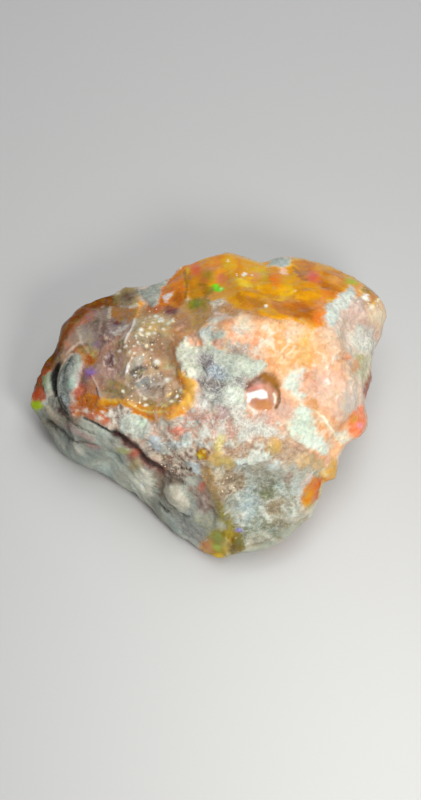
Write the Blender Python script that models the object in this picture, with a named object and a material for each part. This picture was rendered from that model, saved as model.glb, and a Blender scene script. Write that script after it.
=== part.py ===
"""Rough Ethiopian opal: one natural stone, broken facets all round, resting on a flat facet.

The stone is sculpted from a sphere. Every vertex of the sphere slides along its own ray from
a seat inside the stone until it meets the skin, and the skin is the meeting of a few dozen
broken facets, scooped and dented where conchoidal chips came off.

Two frames are used. The model frame is +Z up with the stone resting on z = 0. The display
frame looks down on the stone's best side: a to the right, b up, w towards the eye. Facets of
the display side are laid out in it, in millimetres, on the plane w = 0, along sight lines
that meet at EYE_DISTANCE.
"""
import math

import bmesh
import bpy
import numpy as np

# ------------------------------------------------------------------ driving dimensions
NAME = "opal_stone"
MM = 0.001                      # the sculpting below is in millimetres
DISPLAY_ELEVATION = 62.0        # degrees above the table from which the best side is seen
EYE_DISTANCE = 120.0            # mm, where the display sight lines meet
SEAT_HEIGHT = 8.5               # mm, height above the table of the display frame's origin
SPHERE_LEVELS = 6               # subdivisions of the starting icosphere
FACE_TARGET = 8200              # triangles kept
RIM_GROWTH = 0.30               # mm, added to the outline before its edge is rounded
EDGE_SOFTNESS = 0.55            # mm, how far two facets blend where they meet
FOOT_CENTRE = (-0.3, -0.6)      # mm, middle of the resting facet
FOOT_RADIUS = 8.6               # mm, about how far the resting facet reaches
SEED = 41

# Outline of the display side, clockwise from the left tip: (a, b, height of the rim above
# the table), all in mm.
RIM = [
    (-21.7, -0.6, 5.8), (-21.3, 0.8, 6.4), (-20.5, 3.0, 7.6), (-19.7, 4.7, 8.4),
    (-18.7, 5.7, 8.9), (-17.6, 8.9, 9.3), (-15.5, 10.9, 9.6), (-13.3, 12.1, 10.0),
    (-11.7, 12.5, 10.4), (-10.3, 13.2, 10.7), (-8.6, 13.3, 11.2), (-7.0, 13.6, 11.5),
    (-5.3, 14.2, 11.9), (-3.4, 16.0, 11.9), (-1.1, 17.0, 12.2), (1.9, 17.6, 12.6),
    (3.9, 17.0, 12.9), (5.9, 16.3, 13.4), (6.6, 16.4, 13.4), (8.7, 17.0, 12.7),
    (10.7, 16.9, 12.3), (13.1, 16.3, 12.2), (16.1, 15.4, 12.2), (17.5, 14.5, 12.3),
    (18.9, 13.4, 12.2), (20.3, 12.0, 11.4), (21.1, 10.6, 10.4), (20.7, 8.9, 9.8),
    (20.1, 7.2, 9.4), (19.3, 5.8, 9.4), (19.0, 4.2, 9.4), (19.3, 2.4, 8.9),
    (18.6, 0.6, 8.9), (18.3, -0.6, 8.8), (18.7, -2.9, 8.1), (17.8, -4.2, 8.6),
    (16.0, -5.3, 8.9), (15.2, -6.7, 8.4), (14.8, -9.4, 6.9), (13.5, -9.8, 7.2),
    (13.3, -11.4, 6.0), (12.3, -13.8, 4.6), (11.0, -14.6, 4.7), (9.8, -16.0, 4.2),
    (7.7, -17.5, 3.4), (4.5, -18.0, 3.3), (2.5, -18.5, 2.5), (0.7, -19.1, 1.6),
    (-1.4, -17.9, 1.6), (-5.2, -15.0, 1.7), (-7.0, -12.8, 1.8), (-10.5, -10.0, 1.8),
    (-15.2, -7.9, 1.6), (-18.4, -5.5, 2.2), (-20.2, -2.0, 4.6),
]

# Facets of the display side. Each is the plane through three landmarks (a, b, height above
# the table), in mm.
FACETS = [
    ((3.5, 9.0, 20.9), (14.3, 8.4, 18.6), (9.5, -4.8, 14.3)),        # peach face, right half
    ((1.7, 9.0, 20.8), (-3.1, 0.0, 16.4), (0.5, -6.6, 14.2)),        # rind-covered left half
    ((3.1, 10.9, 21.3), (13.4, 9.5, 19.8), (8.7, 17.0, 12.9)),       # honey band along the top
    ((3.1, 10.9, 21.3), (-3.4, 16.0, 12.0), (-10.3, 13.2, 10.6)),    # orange shoulder, top left
    ((-13.3, 12.1, 10.1), (-5.3, 14.2, 12.8), (-7.0, 9.5, 15.5)),    # window's upper edge
    ((-3.1, 6.6, 17.8), (-2.5, -0.6, 15.4), (-10.0, 7.1, 15.2)),     # clear window, right facet
    ((-10.0, 7.1, 15.2), (-9.7, 0.0, 13.2), (-16.9, 6.6, 11.0)),     # clear window, left facet
    ((-9.8, -5.0, 12.0), (-18.4, -5.5, 2.1), (-5.2, -15.0, 1.6)),   # lower left wall
    ((-0.5, -8.5, 12.8), (2.2, -15.0, 7.0), (-5.2, -15.0, 2.5)),     # wall beside the bottom tip
    ((0.5, -6.6, 14.2), (10.7, -6.0, 13.4), (7.7, -17.4, 3.6)),      # lower facet
    ((16.1, 6.6, 16.6), (16.7, -3.0, 12.6), (19.5, 4.2, 10.2)),       # right wall
    ((13.4, 9.5, 19.8), (17.3, 9.0, 16.8), (16.7, 13.4, 15.2)),      # pale patch, upper right
    ((12.6, -5.5, 12.8), (15.0, -7.5, 8.8), (11.9, -13.2, 5.6)),     # lower right corner
    ((-16.9, 6.6, 11.0), (-18.0, 1.0, 10.8), (-20.6, 2.0, 8.4)),     # left end
    ((3.1, 10.9, 20.6), (8.0, 9.5, 20.5), (1.0, 6.0, 20.3)),         # blunt top
]
EDGE_WANDER = 0.7               # mm, how far the facet edges stray from straight lines

# Scoops and bosses of the display side: (a, b, radius along, radius across, turn in degrees,
# depth; a negative depth stands proud), in mm.
CHIPS = [
    (8.6, 11.9, 5.6, 2.1, -7.0, 1.5),        # hollow behind the crest
    (0.4, 13.2, 3.6, 2.2, 28.0, 0.8),        # hollow in the orange shoulder
    (-13.4, 6.0, 3.6, 4.6, 20.0, 0.9),       # bowl of the window's left facet
    (-6.4, 5.0, 3.2, 5.2, -8.0, 0.9),        # bowl of the window's right facet
    (6.4, 0.9, 2.2, 2.0, 0.0, -0.55),        # glassy bead
    (-17.0, 2.4, 1.3, 3.2, 22.0, -0.8),      # grey slab on the left
    (-12.2, 12.2, 1.9, 1.0, 10.0, -0.5),     # hump on the upper left edge
    (19.4, 10.4, 2.8, 3.6, 20.0, -1.3),      # tan knob at the right
    (17.5, -2.6, 1.3, 1.5, 0.0, -0.5),       # red nub
    (6.0, -11.5, 4.2, 3.4, 60.0, 0.7),       # shallow dish in the lower facet
    (-8.8, -9.2, 4.2, 1.2, -38.0, 0.7),      # dent along the lower left wall
    (-4.2, -11.8, 1.7, 1.2, -40.0, -0.6),    # pale lump low on the wall
    (-7.2, -10.2, 1.6, 0.9, -40.0, -0.5),    # second pale lump
    (12.0, -2.2, 2.8, 2.6, 0.0, -0.35),      # rind plate, right of the bead
    (10.2, 2.4, 1.8, 2.0, 0.0, -0.3),        # rind plate above it
    (-1.2, 4.4, 4.6, 2.8, -20.0, -0.3),      # rind plate in the middle
]

# Undercut walls between the rim and the foot: (bearing in degrees, distance of the wall's
# foot from the middle in mm). Each leans out just enough to meet the rim.
WALLS = [
    (-12.0, 13.6), (14.0, 15.0), (40.0, 15.2), (66.0, 13.4), (92.0, 13.0), (118.0, 12.0),
    (146.0, 12.6), (172.0, 14.2), (196.0, 15.0), (222.0, 13.0), (248.0, 13.6), (276.0, 14.8),
    (304.0, 14.2), (328.0, 14.8),
]
# Gently sloping chips round the resting facet: (bearing, distance where the slope starts,
# rise for each mm outwards).
HEELS = [
    (12.0, 8.6, 0.40), (54.0, 9.2, 0.30), (97.0, 7.6, 0.44), (140.0, 8.4, 0.28),
    (186.0, 9.0, 0.26), (232.0, 8.6, 0.16), (281.0, 8.2, 0.14), (330.0, 9.6, 0.24),
]

SIN_E = math.sin(math.radians(DISPLAY_ELEVATION))
COS_E = math.cos(math.radians(DISPLAY_ELEVATION))


# ------------------------------------------------------------------ helpers
def reach_at_height(b, z):
    """w of the point on the sight line (., b) that lies z above the table."""
    return (z - SEAT_HEIGHT - b * COS_E) / (SIN_E - b * COS_E / EYE_DISTANCE)


def plane_through(landmarks):
    """Coefficients c, ca, cb of w = c + ca*a + cb*b through three landmarks."""
    rows = np.array([(1.0, a, b) for a, b, _ in landmarks])
    reach = np.array([reach_at_height(b, z) for _, b, z in landmarks])
    return np.linalg.solve(rows, reach)


def soft_min(p, q, k):
    h = np.clip(0.5 + 0.5 * (q - p) / k, 0.0, 1.0)
    return q * (1.0 - h) + p * h - k * h * (1.0 - h)


def soft_max(p, q, k):
    return -soft_min(-p, -q, k)


def bell(t):
    """1 in the middle, falling smoothly to 0 at t = 1."""
    t = np.clip(t, 0.0, 1.0)
    return (1.0 - t * t) ** 2


class Grain:
    """Smooth noise on a seeded lattice, about -1 to 1."""

    def __init__(self, seed, size=24):
        self.size = size
        self.table = np.random.RandomState(seed).uniform(-1.0, 1.0, (size, size, size))

    def __call__(self, points, scale):
        q = points / scale
        cell = np.floor(q).astype(int)
        t = q - cell
        t = t * t * t * (t * (t * 6.0 - 15.0) + 10.0)
        total = np.zeros(len(points))
        for i in (0, 1):
            for j in (0, 1):
                for k in (0, 1):
                    weight = (np.where(i, t[:, 0], 1 - t[:, 0])
                              * np.where(j, t[:, 1], 1 - t[:, 1])
                              * np.where(k, t[:, 2], 1 - t[:, 2]))
                    total += weight * self.table[(cell[:, 0] + i) % self.size,
                                                 (cell[:, 1] + j) % self.size,
                                                 (cell[:, 2] + k) % self.size]
        return total


class Chipping:
    """Scalloped chips: distance squared to the nearest of seeded, scattered seats."""

    def __init__(self, seed, size=16):
        self.size = size
        self.seats = np.random.RandomState(seed).uniform(0.08, 0.92, (size, size, size, 3))

    def __call__(self, points, scale):
        q = points / scale
        cell = np.floor(q).astype(int)
        nearest = np.full(len(points), 9.0)
        for i in (-1, 0, 1):
            for j in (-1, 0, 1):
                for k in (-1, 0, 1):
                    at = cell + np.array([i, j, k])
                    wrapped = at % self.size
                    seat = at + self.seats[wrapped[:, 0], wrapped[:, 1], wrapped[:, 2]]
                    nearest = np.minimum(nearest, ((q - seat) ** 2).sum(axis=1))
        return nearest


grain = Grain(SEED)
chipping = Chipping(SEED + 1)


def rim_tables():
    """Radius and rim reach of the outline against bearing, for quick look-up."""
    pts = np.array([(a, b) for a, b, _ in RIM])
    reach = np.array([reach_at_height(b, z) for _, b, z in RIM])
    closed = np.vstack([pts, pts[:1]])
    closed_reach = np.append(reach, reach[0])
    angles, radii, reaches = [], [], []
    for i in range(len(pts)):
        for s in np.linspace(0.0, 1.0, 12, endpoint=False):
            a, b = closed[i] * (1 - s) + closed[i + 1] * s
            angles.append(math.atan2(b, a))
            radii.append(math.hypot(a, b) + RIM_GROWTH)
            reaches.append(closed_reach[i] * (1 - s) + closed_reach[i + 1] * s)
    order = np.argsort(angles)
    angles = np.array(angles)[order]
    radii = np.array(radii)[order]
    reaches = np.array(reaches)[order]
    grid = np.linspace(-math.pi, math.pi, 1441)
    radii = np.interp(grid, angles, radii, period=2 * math.pi)
    window = np.hanning(15)                      # rounds the notches over about 3 degrees
    radii = np.convolve(np.concatenate([radii[-9:-1], radii, radii[1:9]]),
                        window / window.sum(), mode="same")[8:-8]
    reaches = np.interp(grid, angles, reaches, period=2 * math.pi)
    slope = np.gradient(radii, grid)
    return grid, radii, reaches, 1.0 / np.sqrt(1.0 + (slope / radii) ** 2)


RIM_BEARING, RIM_RADIUS, RIM_REACH, RIM_LEAN = rim_tables()
FACET_PLANES = [plane_through(f) for f in FACETS]


def relief(a, b):
    """Reach w of the display side over the point (a, b)."""
    flat = np.column_stack([a, b, np.zeros(len(a))])
    astray = a + EDGE_WANDER * (grain(flat, 4.0) + 0.5 * grain(flat + 40.0, 1.9))
    bstray = b + EDGE_WANDER * (grain(flat + 60.0, 4.0) + 0.5 * grain(flat + 80.0, 1.9))
    height = None
    for c, ca, cb in FACET_PLANES:
        facet = c + ca * astray + cb * bstray
        height = facet if height is None else soft_min(height, facet, EDGE_SOFTNESS)
    for ca, cb, along, across, turn, depth in CHIPS:
        co, si = math.cos(math.radians(turn)), math.sin(math.radians(turn))
        x, y = a - ca, b - cb
        t = np.hypot((x * co + y * si) / along, (y * co - x * si) / across)
        height = height - depth * bell(t)
    return height


def to_model(p):
    """Display frame (right, up, towards the eye) to the model frame, mm."""
    u, v, w = p[:, 0], p[:, 1], p[:, 2]
    return np.column_stack([u, v * SIN_E - w * COS_E, SEAT_HEIGHT + v * COS_E + w * SIN_E])


def rim_in_model_frame():
    pts = []
    for a, b, z in RIM:
        w = reach_at_height(b, z)
        taper = (EYE_DISTANCE - w) / EYE_DISTANCE
        pts.append((a * taper, b * taper, w))
    return to_model(np.array(pts))


def lean_walls():
    """Walls and heels as (cos, sin, distance, slope), leaning so that the rim stays whole."""
    rim = rim_in_model_frame()
    rim[:, 0] -= FOOT_CENTRE[0]
    rim[:, 1] -= FOOT_CENTRE[1]
    walls, heels = [], []
    for bearing, foot in WALLS:
        co, si = math.cos(math.radians(bearing)), math.sin(math.radians(bearing))
        run = rim[:, 0] * co + rim[:, 1] * si
        walls.append((co, si, foot, float(((run + 0.2 - foot) / rim[:, 2]).max())))
    for bearing, start, rise in HEELS:
        co, si = math.cos(math.radians(bearing)), math.sin(math.radians(bearing))
        run = rim[:, 0] * co + rim[:, 1] * si
        beyond = run > start + 2.0
        limit = (rim[beyond, 2] * 0.7 / (run[beyond] - start)).min()
        heels.append((co, si, start, min(rise, float(limit))))
    return walls, heels


LEANING_WALLS, LEANING_HEELS = lean_walls()


def outside(p):
    """Roughly how far the point p of the display frame lies outside the stone, mm."""
    u, v, w = p[:, 0], p[:, 1], p[:, 2]
    sight = EYE_DISTANCE / (EYE_DISTANCE - w)
    a, b = u * sight, v * sight
    bearing = np.arctan2(b, a)
    radius = np.interp(bearing, RIM_BEARING, RIM_RADIUS)
    inset = (radius - np.hypot(a, b)) * np.interp(bearing, RIM_BEARING, RIM_LEAN)
    reach = np.interp(bearing, RIM_BEARING, RIM_REACH)

    depth = np.maximum(inset, 0.0)
    shell = (w - soft_max(relief(a, b), reach + 0.3 * depth, 0.5)) * 0.8
    brow = (w - reach) - 2.4 * np.sqrt(depth * (depth + 0.8))
    shell = soft_max(shell, brow * 0.45, 0.5)
    chin = (reach - w) - 2.6 * np.sqrt(depth * (depth + 0.8))
    shell = soft_max(shell, chin * 0.45, 0.5)
    shell = soft_max(shell, -inset, 0.5)

    x, y, z = to_model(p).T
    x, y = x - FOOT_CENTRE[0], y - FOOT_CENTRE[1]
    for co, si, foot, lean in LEANING_WALLS:
        wall = (x * co + y * si - foot - lean * z) / math.hypot(1.0, lean)
        shell = soft_max(shell, wall, 0.6)
    for co, si, start, rise in LEANING_HEELS:
        heel = (rise * (x * co + y * si - start) - z) / math.hypot(1.0, rise)
        shell = soft_max(shell, heel, 0.4)
    return shell


SEAT = np.array([0.5, -0.8, 1.6])       # inside point all rays start from, display frame


def skin(directions):
    """Where each ray from the seat leaves the stone, display frame, mm."""
    count = len(directions)
    low = np.zeros(count)
    high = np.full(count, 30.0)
    step = 0.6
    found = np.zeros(count, bool)
    for i in range(1, 51):
        t = np.full(count, i * step)
        out = (outside(SEAT + directions * t[:, None]) > 0.0) & ~found
        high[out] = t[out]
        low[~found & ~out] = t[~found & ~out]
        found |= out
    for _ in range(16):
        middle = 0.5 * (low + high)
        out = outside(SEAT + directions * middle[:, None]) > 0.0
        high = np.where(out, middle, high)
        low = np.where(out, low, middle)
    return SEAT + directions * (0.5 * (low + high))[:, None]


def roughen(p, directions):
    """Rind texture: a few tenths of a millimetre, less on the glassy places and the rim."""
    sight = EYE_DISTANCE / (EYE_DISTANCE - p[:, 2])
    a, b = p[:, 0] * sight, p[:, 1] * sight
    bearing = np.arctan2(b, a)
    inset = np.interp(bearing, RIM_BEARING, RIM_RADIUS) - np.hypot(a, b)
    glassy = np.maximum.reduce([
        bell(np.hypot((a + 10.0) / 9.0, (b - 5.0) / 7.5)),
        bell(np.hypot((a - 6.0) / 12.0, (b - 13.0) / 4.5)),
    ])
    rough = (1.0 - 0.75 * glassy) * np.clip(0.3 + inset / 2.0, 0.3, 1.0)
    swell = 0.30 * grain(p, 4.3) + 0.16 * grain(p + 31.0, 2.1) + 0.08 * grain(p + 77.0, 1.05)
    swell = swell + 0.9 * (chipping(p, 5.2) - 0.25) + 0.4 * (chipping(p + 9.0, 2.4) - 0.25)
    swell = swell * rough
    below = np.clip((np.interp(bearing, RIM_BEARING, RIM_REACH) - p[:, 2]) / 2.5, 0.0, 1.0)
    swell = swell + below * 1.5 * (chipping(p + 3.0, 7.5) - 0.3)
    return p + directions * swell[:, None]


# ------------------------------------------------------------------ build
for item in list(bpy.data.objects):
    bpy.data.objects.remove(item, do_unlink=True)

collection = bpy.data.collections.new("rough_opal")
bpy.context.scene.collection.children.link(collection)

bm = bmesh.new()
bmesh.ops.create_icosphere(bm, subdivisions=SPHERE_LEVELS, radius=1.0)
bm.verts.ensure_lookup_table()
rays = np.array([v.co[:] for v in bm.verts])
rays /= np.linalg.norm(rays, axis=1)[:, None]

points = roughen(skin(rays), rays)
points = to_model(points)
points[:, 2] = np.maximum(points[:, 2], 0.0)

for vert, co in zip(bm.verts, points * MM):
    vert.co = co
for _ in range(2):                               # wears the sharpest steps down a little
    bmesh.ops.smooth_vert(bm, verts=bm.verts, factor=0.35,
                          use_axis_x=True, use_axis_y=True, use_axis_z=True)
worn = np.array([v.co[:] for v in bm.verts])
middle = 0.5 * (worn.min(axis=0) + worn.max(axis=0))
for vert in bm.verts:                            # origin: middle of the footprint, on the table
    vert.co.x -= middle[0]
    vert.co.y -= middle[1]
    if vert.co.z < 0.00004:
        vert.co.z = 0.0
bmesh.ops.recalc_face_normals(bm, faces=bm.faces)

mesh = bpy.data.meshes.new(NAME)
bm.to_mesh(mesh)
bm.free()
stone = bpy.data.objects.new(NAME, mesh)
collection.objects.link(stone)
mesh.shade_smooth()
mesh.set_sharp_from_angle(angle=math.radians(38.0))

thin = stone.modifiers.new("thin", "DECIMATE")
thin.decimate_type = "COLLAPSE"
thin.ratio = FACE_TARGET / len(mesh.polygons)
thin.use_collapse_triangulate = True

opal = bpy.data.materials.new("opal")
opal.use_nodes = True
shader = opal.node_tree.nodes["Principled BSDF"]
shader.inputs["Base Color"].default_value = (0.78, 0.42, 0.20, 1.0)
shader.inputs["Roughness"].default_value = 0.38
shader.inputs["Metallic"].default_value = 0.0
mesh.materials.append(opal)
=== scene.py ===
import math

import bpy
import numpy as np
from mathutils import Matrix, Vector


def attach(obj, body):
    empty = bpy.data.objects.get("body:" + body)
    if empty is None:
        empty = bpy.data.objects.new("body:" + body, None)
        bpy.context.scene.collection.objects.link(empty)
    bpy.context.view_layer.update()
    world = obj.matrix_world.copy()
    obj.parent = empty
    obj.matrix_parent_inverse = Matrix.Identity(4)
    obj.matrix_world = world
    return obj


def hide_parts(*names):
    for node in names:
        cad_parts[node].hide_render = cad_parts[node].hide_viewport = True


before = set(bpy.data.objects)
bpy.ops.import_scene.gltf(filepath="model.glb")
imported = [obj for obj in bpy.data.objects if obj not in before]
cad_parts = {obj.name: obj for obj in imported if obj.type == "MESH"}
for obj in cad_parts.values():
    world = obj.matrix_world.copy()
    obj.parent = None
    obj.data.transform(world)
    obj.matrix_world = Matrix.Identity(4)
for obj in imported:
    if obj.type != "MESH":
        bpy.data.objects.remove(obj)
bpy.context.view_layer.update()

# =====================================================================================
# 1. Frames. The stone is laid out in a display frame, in mm: u right, v up, w towards the
#    eye, seen from 62 degrees above the table. X, Y are sight-line coordinates on a sheet
#    421 wide and 800 high, one step of which is 0.12 mm on the plane w = 0.
# =====================================================================================
MM = 0.001
ELEVATION = 62.0
EYE = 120.0
SEAT_HEIGHT = 8.5
STEP = 0.12
CX, CY = 210.5, 400.0
SIN_E, COS_E = math.sin(math.radians(ELEVATION)), math.cos(math.radians(ELEVATION))

EDGE_SOFTNESS = 0.45
EDGE_WANDER = 0.7
RIM_GROWTH = 0.22
FOOT_CENTRE = (-0.3, -0.6)
SEED = 41
FINE = 128          # squares along an edge of the starting cube

RIM = [
    (-21.7, -0.6, 5.8), (-21.3, 0.8, 6.4), (-20.5, 3.0, 7.6), (-19.7, 4.7, 8.4),
    (-18.7, 5.7, 8.9), (-17.6, 8.9, 9.3), (-15.5, 10.9, 9.6), (-13.3, 12.1, 10.0),
    (-11.7, 12.5, 10.4), (-10.3, 13.2, 10.7), (-8.6, 13.3, 11.2), (-7.0, 13.6, 11.5),
    (-5.3, 14.2, 11.9), (-3.4, 16.0, 11.9), (-1.1, 17.0, 12.2), (1.9, 17.6, 12.6),
    (3.9, 17.0, 12.9), (5.9, 16.3, 13.4), (6.6, 16.4, 13.4), (8.7, 17.0, 12.7),
    (10.7, 16.9, 12.3), (13.1, 16.3, 12.2), (16.1, 15.4, 12.2), (17.5, 14.5, 12.3),
    (18.9, 13.4, 12.2), (20.3, 12.0, 11.4), (21.1, 10.6, 10.4), (20.7, 8.9, 9.8),
    (20.1, 7.2, 9.4), (19.3, 5.8, 9.4), (19.0, 4.2, 9.4), (19.3, 2.4, 8.9),
    (18.6, 0.6, 8.9), (18.3, -0.6, 8.8), (18.7, -2.9, 8.1), (17.8, -4.2, 8.6),
    (16.0, -5.3, 8.9), (15.2, -6.7, 8.4), (14.8, -9.4, 6.9), (13.5, -9.8, 7.2),
    (13.3, -11.4, 6.0), (12.3, -13.8, 4.6), (11.0, -14.6, 4.7), (9.8, -16.0, 4.2),
    (7.7, -17.5, 3.4), (4.5, -18.0, 3.3), (2.5, -18.5, 2.5), (0.7, -19.1, 1.6),
    (-1.4, -17.9, 1.6), (-5.2, -15.0, 1.7), (-7.0, -12.8, 1.8), (-10.5, -10.0, 1.8),
    (-15.2, -7.9, 1.6), (-18.4, -5.5, 2.2), (-20.2, -2.0, 4.6),
]
FACETS = [
    ((3.5, 9.0, 20.9), (14.3, 8.4, 18.6), (9.5, -4.8, 14.3)),        # peach face, right half
    ((1.7, 9.0, 20.8), (-3.1, 0.0, 16.4), (0.5, -6.6, 14.2)),        # rind-covered left half
    ((3.1, 10.9, 21.3), (13.4, 9.5, 19.8), (8.7, 17.0, 12.9)),       # honey band along the top
    ((3.1, 10.9, 21.3), (-3.4, 16.0, 12.0), (-10.3, 13.2, 10.6)),    # orange shoulder, top left
    ((-13.3, 12.1, 10.1), (-5.3, 14.2, 12.8), (-7.0, 9.5, 15.5)),    # window's upper edge
    ((-3.1, 6.6, 17.8), (-2.5, -0.6, 15.4), (-10.0, 7.1, 15.2)),     # clear window, right facet
    ((-10.0, 7.1, 15.2), (-9.7, 0.0, 13.2), (-16.9, 6.6, 11.0)),     # clear window, left facet
    ((-9.8, -5.0, 12.0), (-18.4, -5.5, 2.1), (-5.2, -15.0, 1.6)),    # lower left wall
    ((-0.5, -8.5, 12.8), (2.2, -15.0, 7.0), (-5.2, -15.0, 2.5)),     # wall beside the bottom tip
    ((0.5, -6.6, 14.2), (10.7, -6.0, 13.4), (7.7, -17.4, 3.6)),      # lower facet
    ((16.1, 6.6, 16.6), (16.7, -3.0, 12.6), (19.5, 4.2, 10.2)),      # right wall
    ((13.4, 9.5, 19.8), (17.3, 9.0, 16.8), (16.7, 13.4, 15.2)),      # pale patch, upper right
    ((12.6, -5.5, 12.8), (15.0, -7.5, 8.8), (11.9, -13.2, 5.6)),     # lower right corner
    ((-16.9, 6.6, 11.0), (-18.0, 1.0, 10.8), (-20.6, 2.0, 8.4)),     # left end
    ((3.1, 10.9, 20.6), (8.0, 9.5, 20.5), (1.0, 6.0, 20.3)),         # blunt top
]
CHIPS = [
    (8.6, 11.9, 5.6, 2.1, -7.0, 1.5), (0.4, 13.2, 3.6, 2.2, 28.0, 0.8),
    (-13.4, 6.0, 3.6, 4.6, 20.0, 0.9), (-6.4, 5.0, 3.2, 5.2, -8.0, 0.9),
    (6.4, 0.9, 2.2, 2.0, 0.0, -0.55), (-17.0, 2.4, 1.3, 3.2, 22.0, -0.8),
    (-12.2, 12.2, 1.9, 1.0, 10.0, -0.5), (19.4, 10.4, 2.8, 3.6, 20.0, -1.3),
    (17.5, -2.6, 1.3, 1.5, 0.0, -0.5), (6.0, -11.5, 4.2, 3.4, 60.0, 0.7),
    (-8.8, -9.2, 4.2, 1.2, -38.0, 0.7), (-4.2, -11.8, 1.7, 1.2, -40.0, -0.6),
    (-7.2, -10.2, 1.6, 0.9, -40.0, -0.5), (12.0, -2.2, 2.8, 2.6, 0.0, -0.35),
    (10.2, 2.4, 1.8, 2.0, 0.0, -0.3), (-1.2, 4.4, 4.6, 2.8, -20.0, -0.3),
]
WALLS = [
    (-12.0, 13.6), (14.0, 15.0), (40.0, 15.2), (66.0, 13.4), (92.0, 13.0), (118.0, 12.0),
    (146.0, 12.6), (172.0, 14.2), (196.0, 15.0), (222.0, 13.0), (248.0, 13.6), (276.0, 14.8),
    (304.0, 14.2), (328.0, 14.8),
]
HEELS = [
    (12.0, 8.6, 0.40), (54.0, 9.2, 0.30), (97.0, 7.6, 0.44), (140.0, 8.4, 0.28),
    (186.0, 9.0, 0.26), (232.0, 8.6, 0.16), (281.0, 8.2, 0.14), (330.0, 9.6, 0.24),
]


# =====================================================================================
# 2. Small maths
# =====================================================================================
def srgb(r, g, b):
    c = np.array([r, g, b], float) / 255.0
    return np.where(c <= 0.04045, c / 12.92, ((c + 0.055) / 1.055) ** 2.4)


def rise(x, lo, hi):
    t = np.clip((x - lo) / (hi - lo), 0.0, 1.0)
    return t * t * (3.0 - 2.0 * t)


def bell(t):
    t = np.clip(t, 0.0, 1.0)
    return (1.0 - t * t) ** 2


def soft_min(p, q, k):
    h = np.clip(0.5 + 0.5 * (q - p) / k, 0.0, 1.0)
    return q * (1.0 - h) + p * h - k * h * (1.0 - h)


def soft_max(p, q, k):
    return -soft_min(-p, -q, k)


class Grain:
    """Smooth noise on a seeded lattice, about -1 to 1."""

    def __init__(self, seed, size=24):
        self.size = size
        self.table = np.random.RandomState(seed).uniform(-1.0, 1.0, (size, size, size))

    def __call__(self, points, scale):
        q = points / scale
        cell = np.floor(q).astype(int)
        t = q - cell
        t = t * t * t * (t * (t * 6.0 - 15.0) + 10.0)
        total = np.zeros(len(points))
        for i in (0, 1):
            for j in (0, 1):
                for k in (0, 1):
                    weight = (np.where(i, t[:, 0], 1 - t[:, 0])
                              * np.where(j, t[:, 1], 1 - t[:, 1])
                              * np.where(k, t[:, 2], 1 - t[:, 2]))
                    total += weight * self.table[(cell[:, 0] + i) % self.size,
                                                 (cell[:, 1] + j) % self.size,
                                                 (cell[:, 2] + k) % self.size]
        return total


class Chipping:
    """Seeded, scattered seats: squared distance to the nearest, and that seat's own number."""

    def __init__(self, seed, size=16):
        self.size = size
        rng = np.random.RandomState(seed)
        self.seats = rng.uniform(0.08, 0.92, (size, size, size, 3))
        self.lot = rng.uniform(0.0, 1.0, (size, size, size))

    def cells(self, points, scale):
        q = points / scale
        cell = np.floor(q).astype(int)
        first = np.full(len(points), 9.0)
        second = np.full(len(points), 9.0)
        lot = np.zeros(len(points))
        for i in (-1, 0, 1):
            for j in (-1, 0, 1):
                for k in (-1, 0, 1):
                    at = cell + np.array([i, j, k])
                    w = at % self.size
                    seat = at + self.seats[w[:, 0], w[:, 1], w[:, 2]]
                    d = ((q - seat) ** 2).sum(axis=1)
                    closer = d < first
                    second = np.where(closer, first, np.minimum(second, d))
                    lot = np.where(closer, self.lot[w[:, 0], w[:, 1], w[:, 2]], lot)
                    first = np.where(closer, d, first)
        return first, second, lot

    def __call__(self, points, scale):
        return self.cells(points, scale)[0]


grain = Grain(SEED)
chipping = Chipping(SEED + 1)


def fbm(p, scale, shift=0.0, octaves=4):
    total, weight, power = 0.0, 0.0, 1.0
    for i in range(octaves):
        total = total + power * grain(p + shift + 17.3 * i, scale)
        weight += power
        scale, power = scale * 0.48, power * 0.58
    return total / weight * 1.6


# =====================================================================================
# 3. The stone's coarse shape: the same sculpting as the solid it stands for
# =====================================================================================
def reach_at_height(b, z):
    return (z - SEAT_HEIGHT - b * COS_E) / (SIN_E - b * COS_E / EYE)


def plane_through(landmarks):
    rows = np.array([(1.0, a, b) for a, b, _ in landmarks])
    reach = np.array([reach_at_height(b, z) for _, b, z in landmarks])
    return np.linalg.solve(rows, reach)


def rim_tables():
    pts = np.array([(a, b) for a, b, _ in RIM])
    reach = np.array([reach_at_height(b, z) for _, b, z in RIM])
    closed = np.vstack([pts, pts[:1]])
    closed_reach = np.append(reach, reach[0])
    angles, radii, reaches = [], [], []
    for i in range(len(pts)):
        for s in np.linspace(0.0, 1.0, 12, endpoint=False):
            a, b = closed[i] * (1 - s) + closed[i + 1] * s
            angles.append(math.atan2(b, a))
            radii.append(math.hypot(a, b) + RIM_GROWTH)
            reaches.append(closed_reach[i] * (1 - s) + closed_reach[i + 1] * s)
    order = np.argsort(angles)
    angles = np.array(angles)[order]
    radii = np.array(radii)[order]
    reaches = np.array(reaches)[order]
    grid = np.linspace(-math.pi, math.pi, 1441)
    radii = np.interp(grid, angles, radii, period=2 * math.pi)
    window = np.hanning(9)
    radii = np.convolve(np.concatenate([radii[-9:-1], radii, radii[1:9]]),
                        window / window.sum(), mode="same")[8:-8]
    reaches = np.interp(grid, angles, reaches, period=2 * math.pi)
    slope = np.gradient(radii, grid)
    return grid, radii, reaches, 1.0 / np.sqrt(1.0 + (slope / radii) ** 2)


RIM_BEARING, RIM_RADIUS, RIM_REACH, RIM_LEAN = rim_tables()
FACET_PLANES = [plane_through(f) for f in FACETS]


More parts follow.
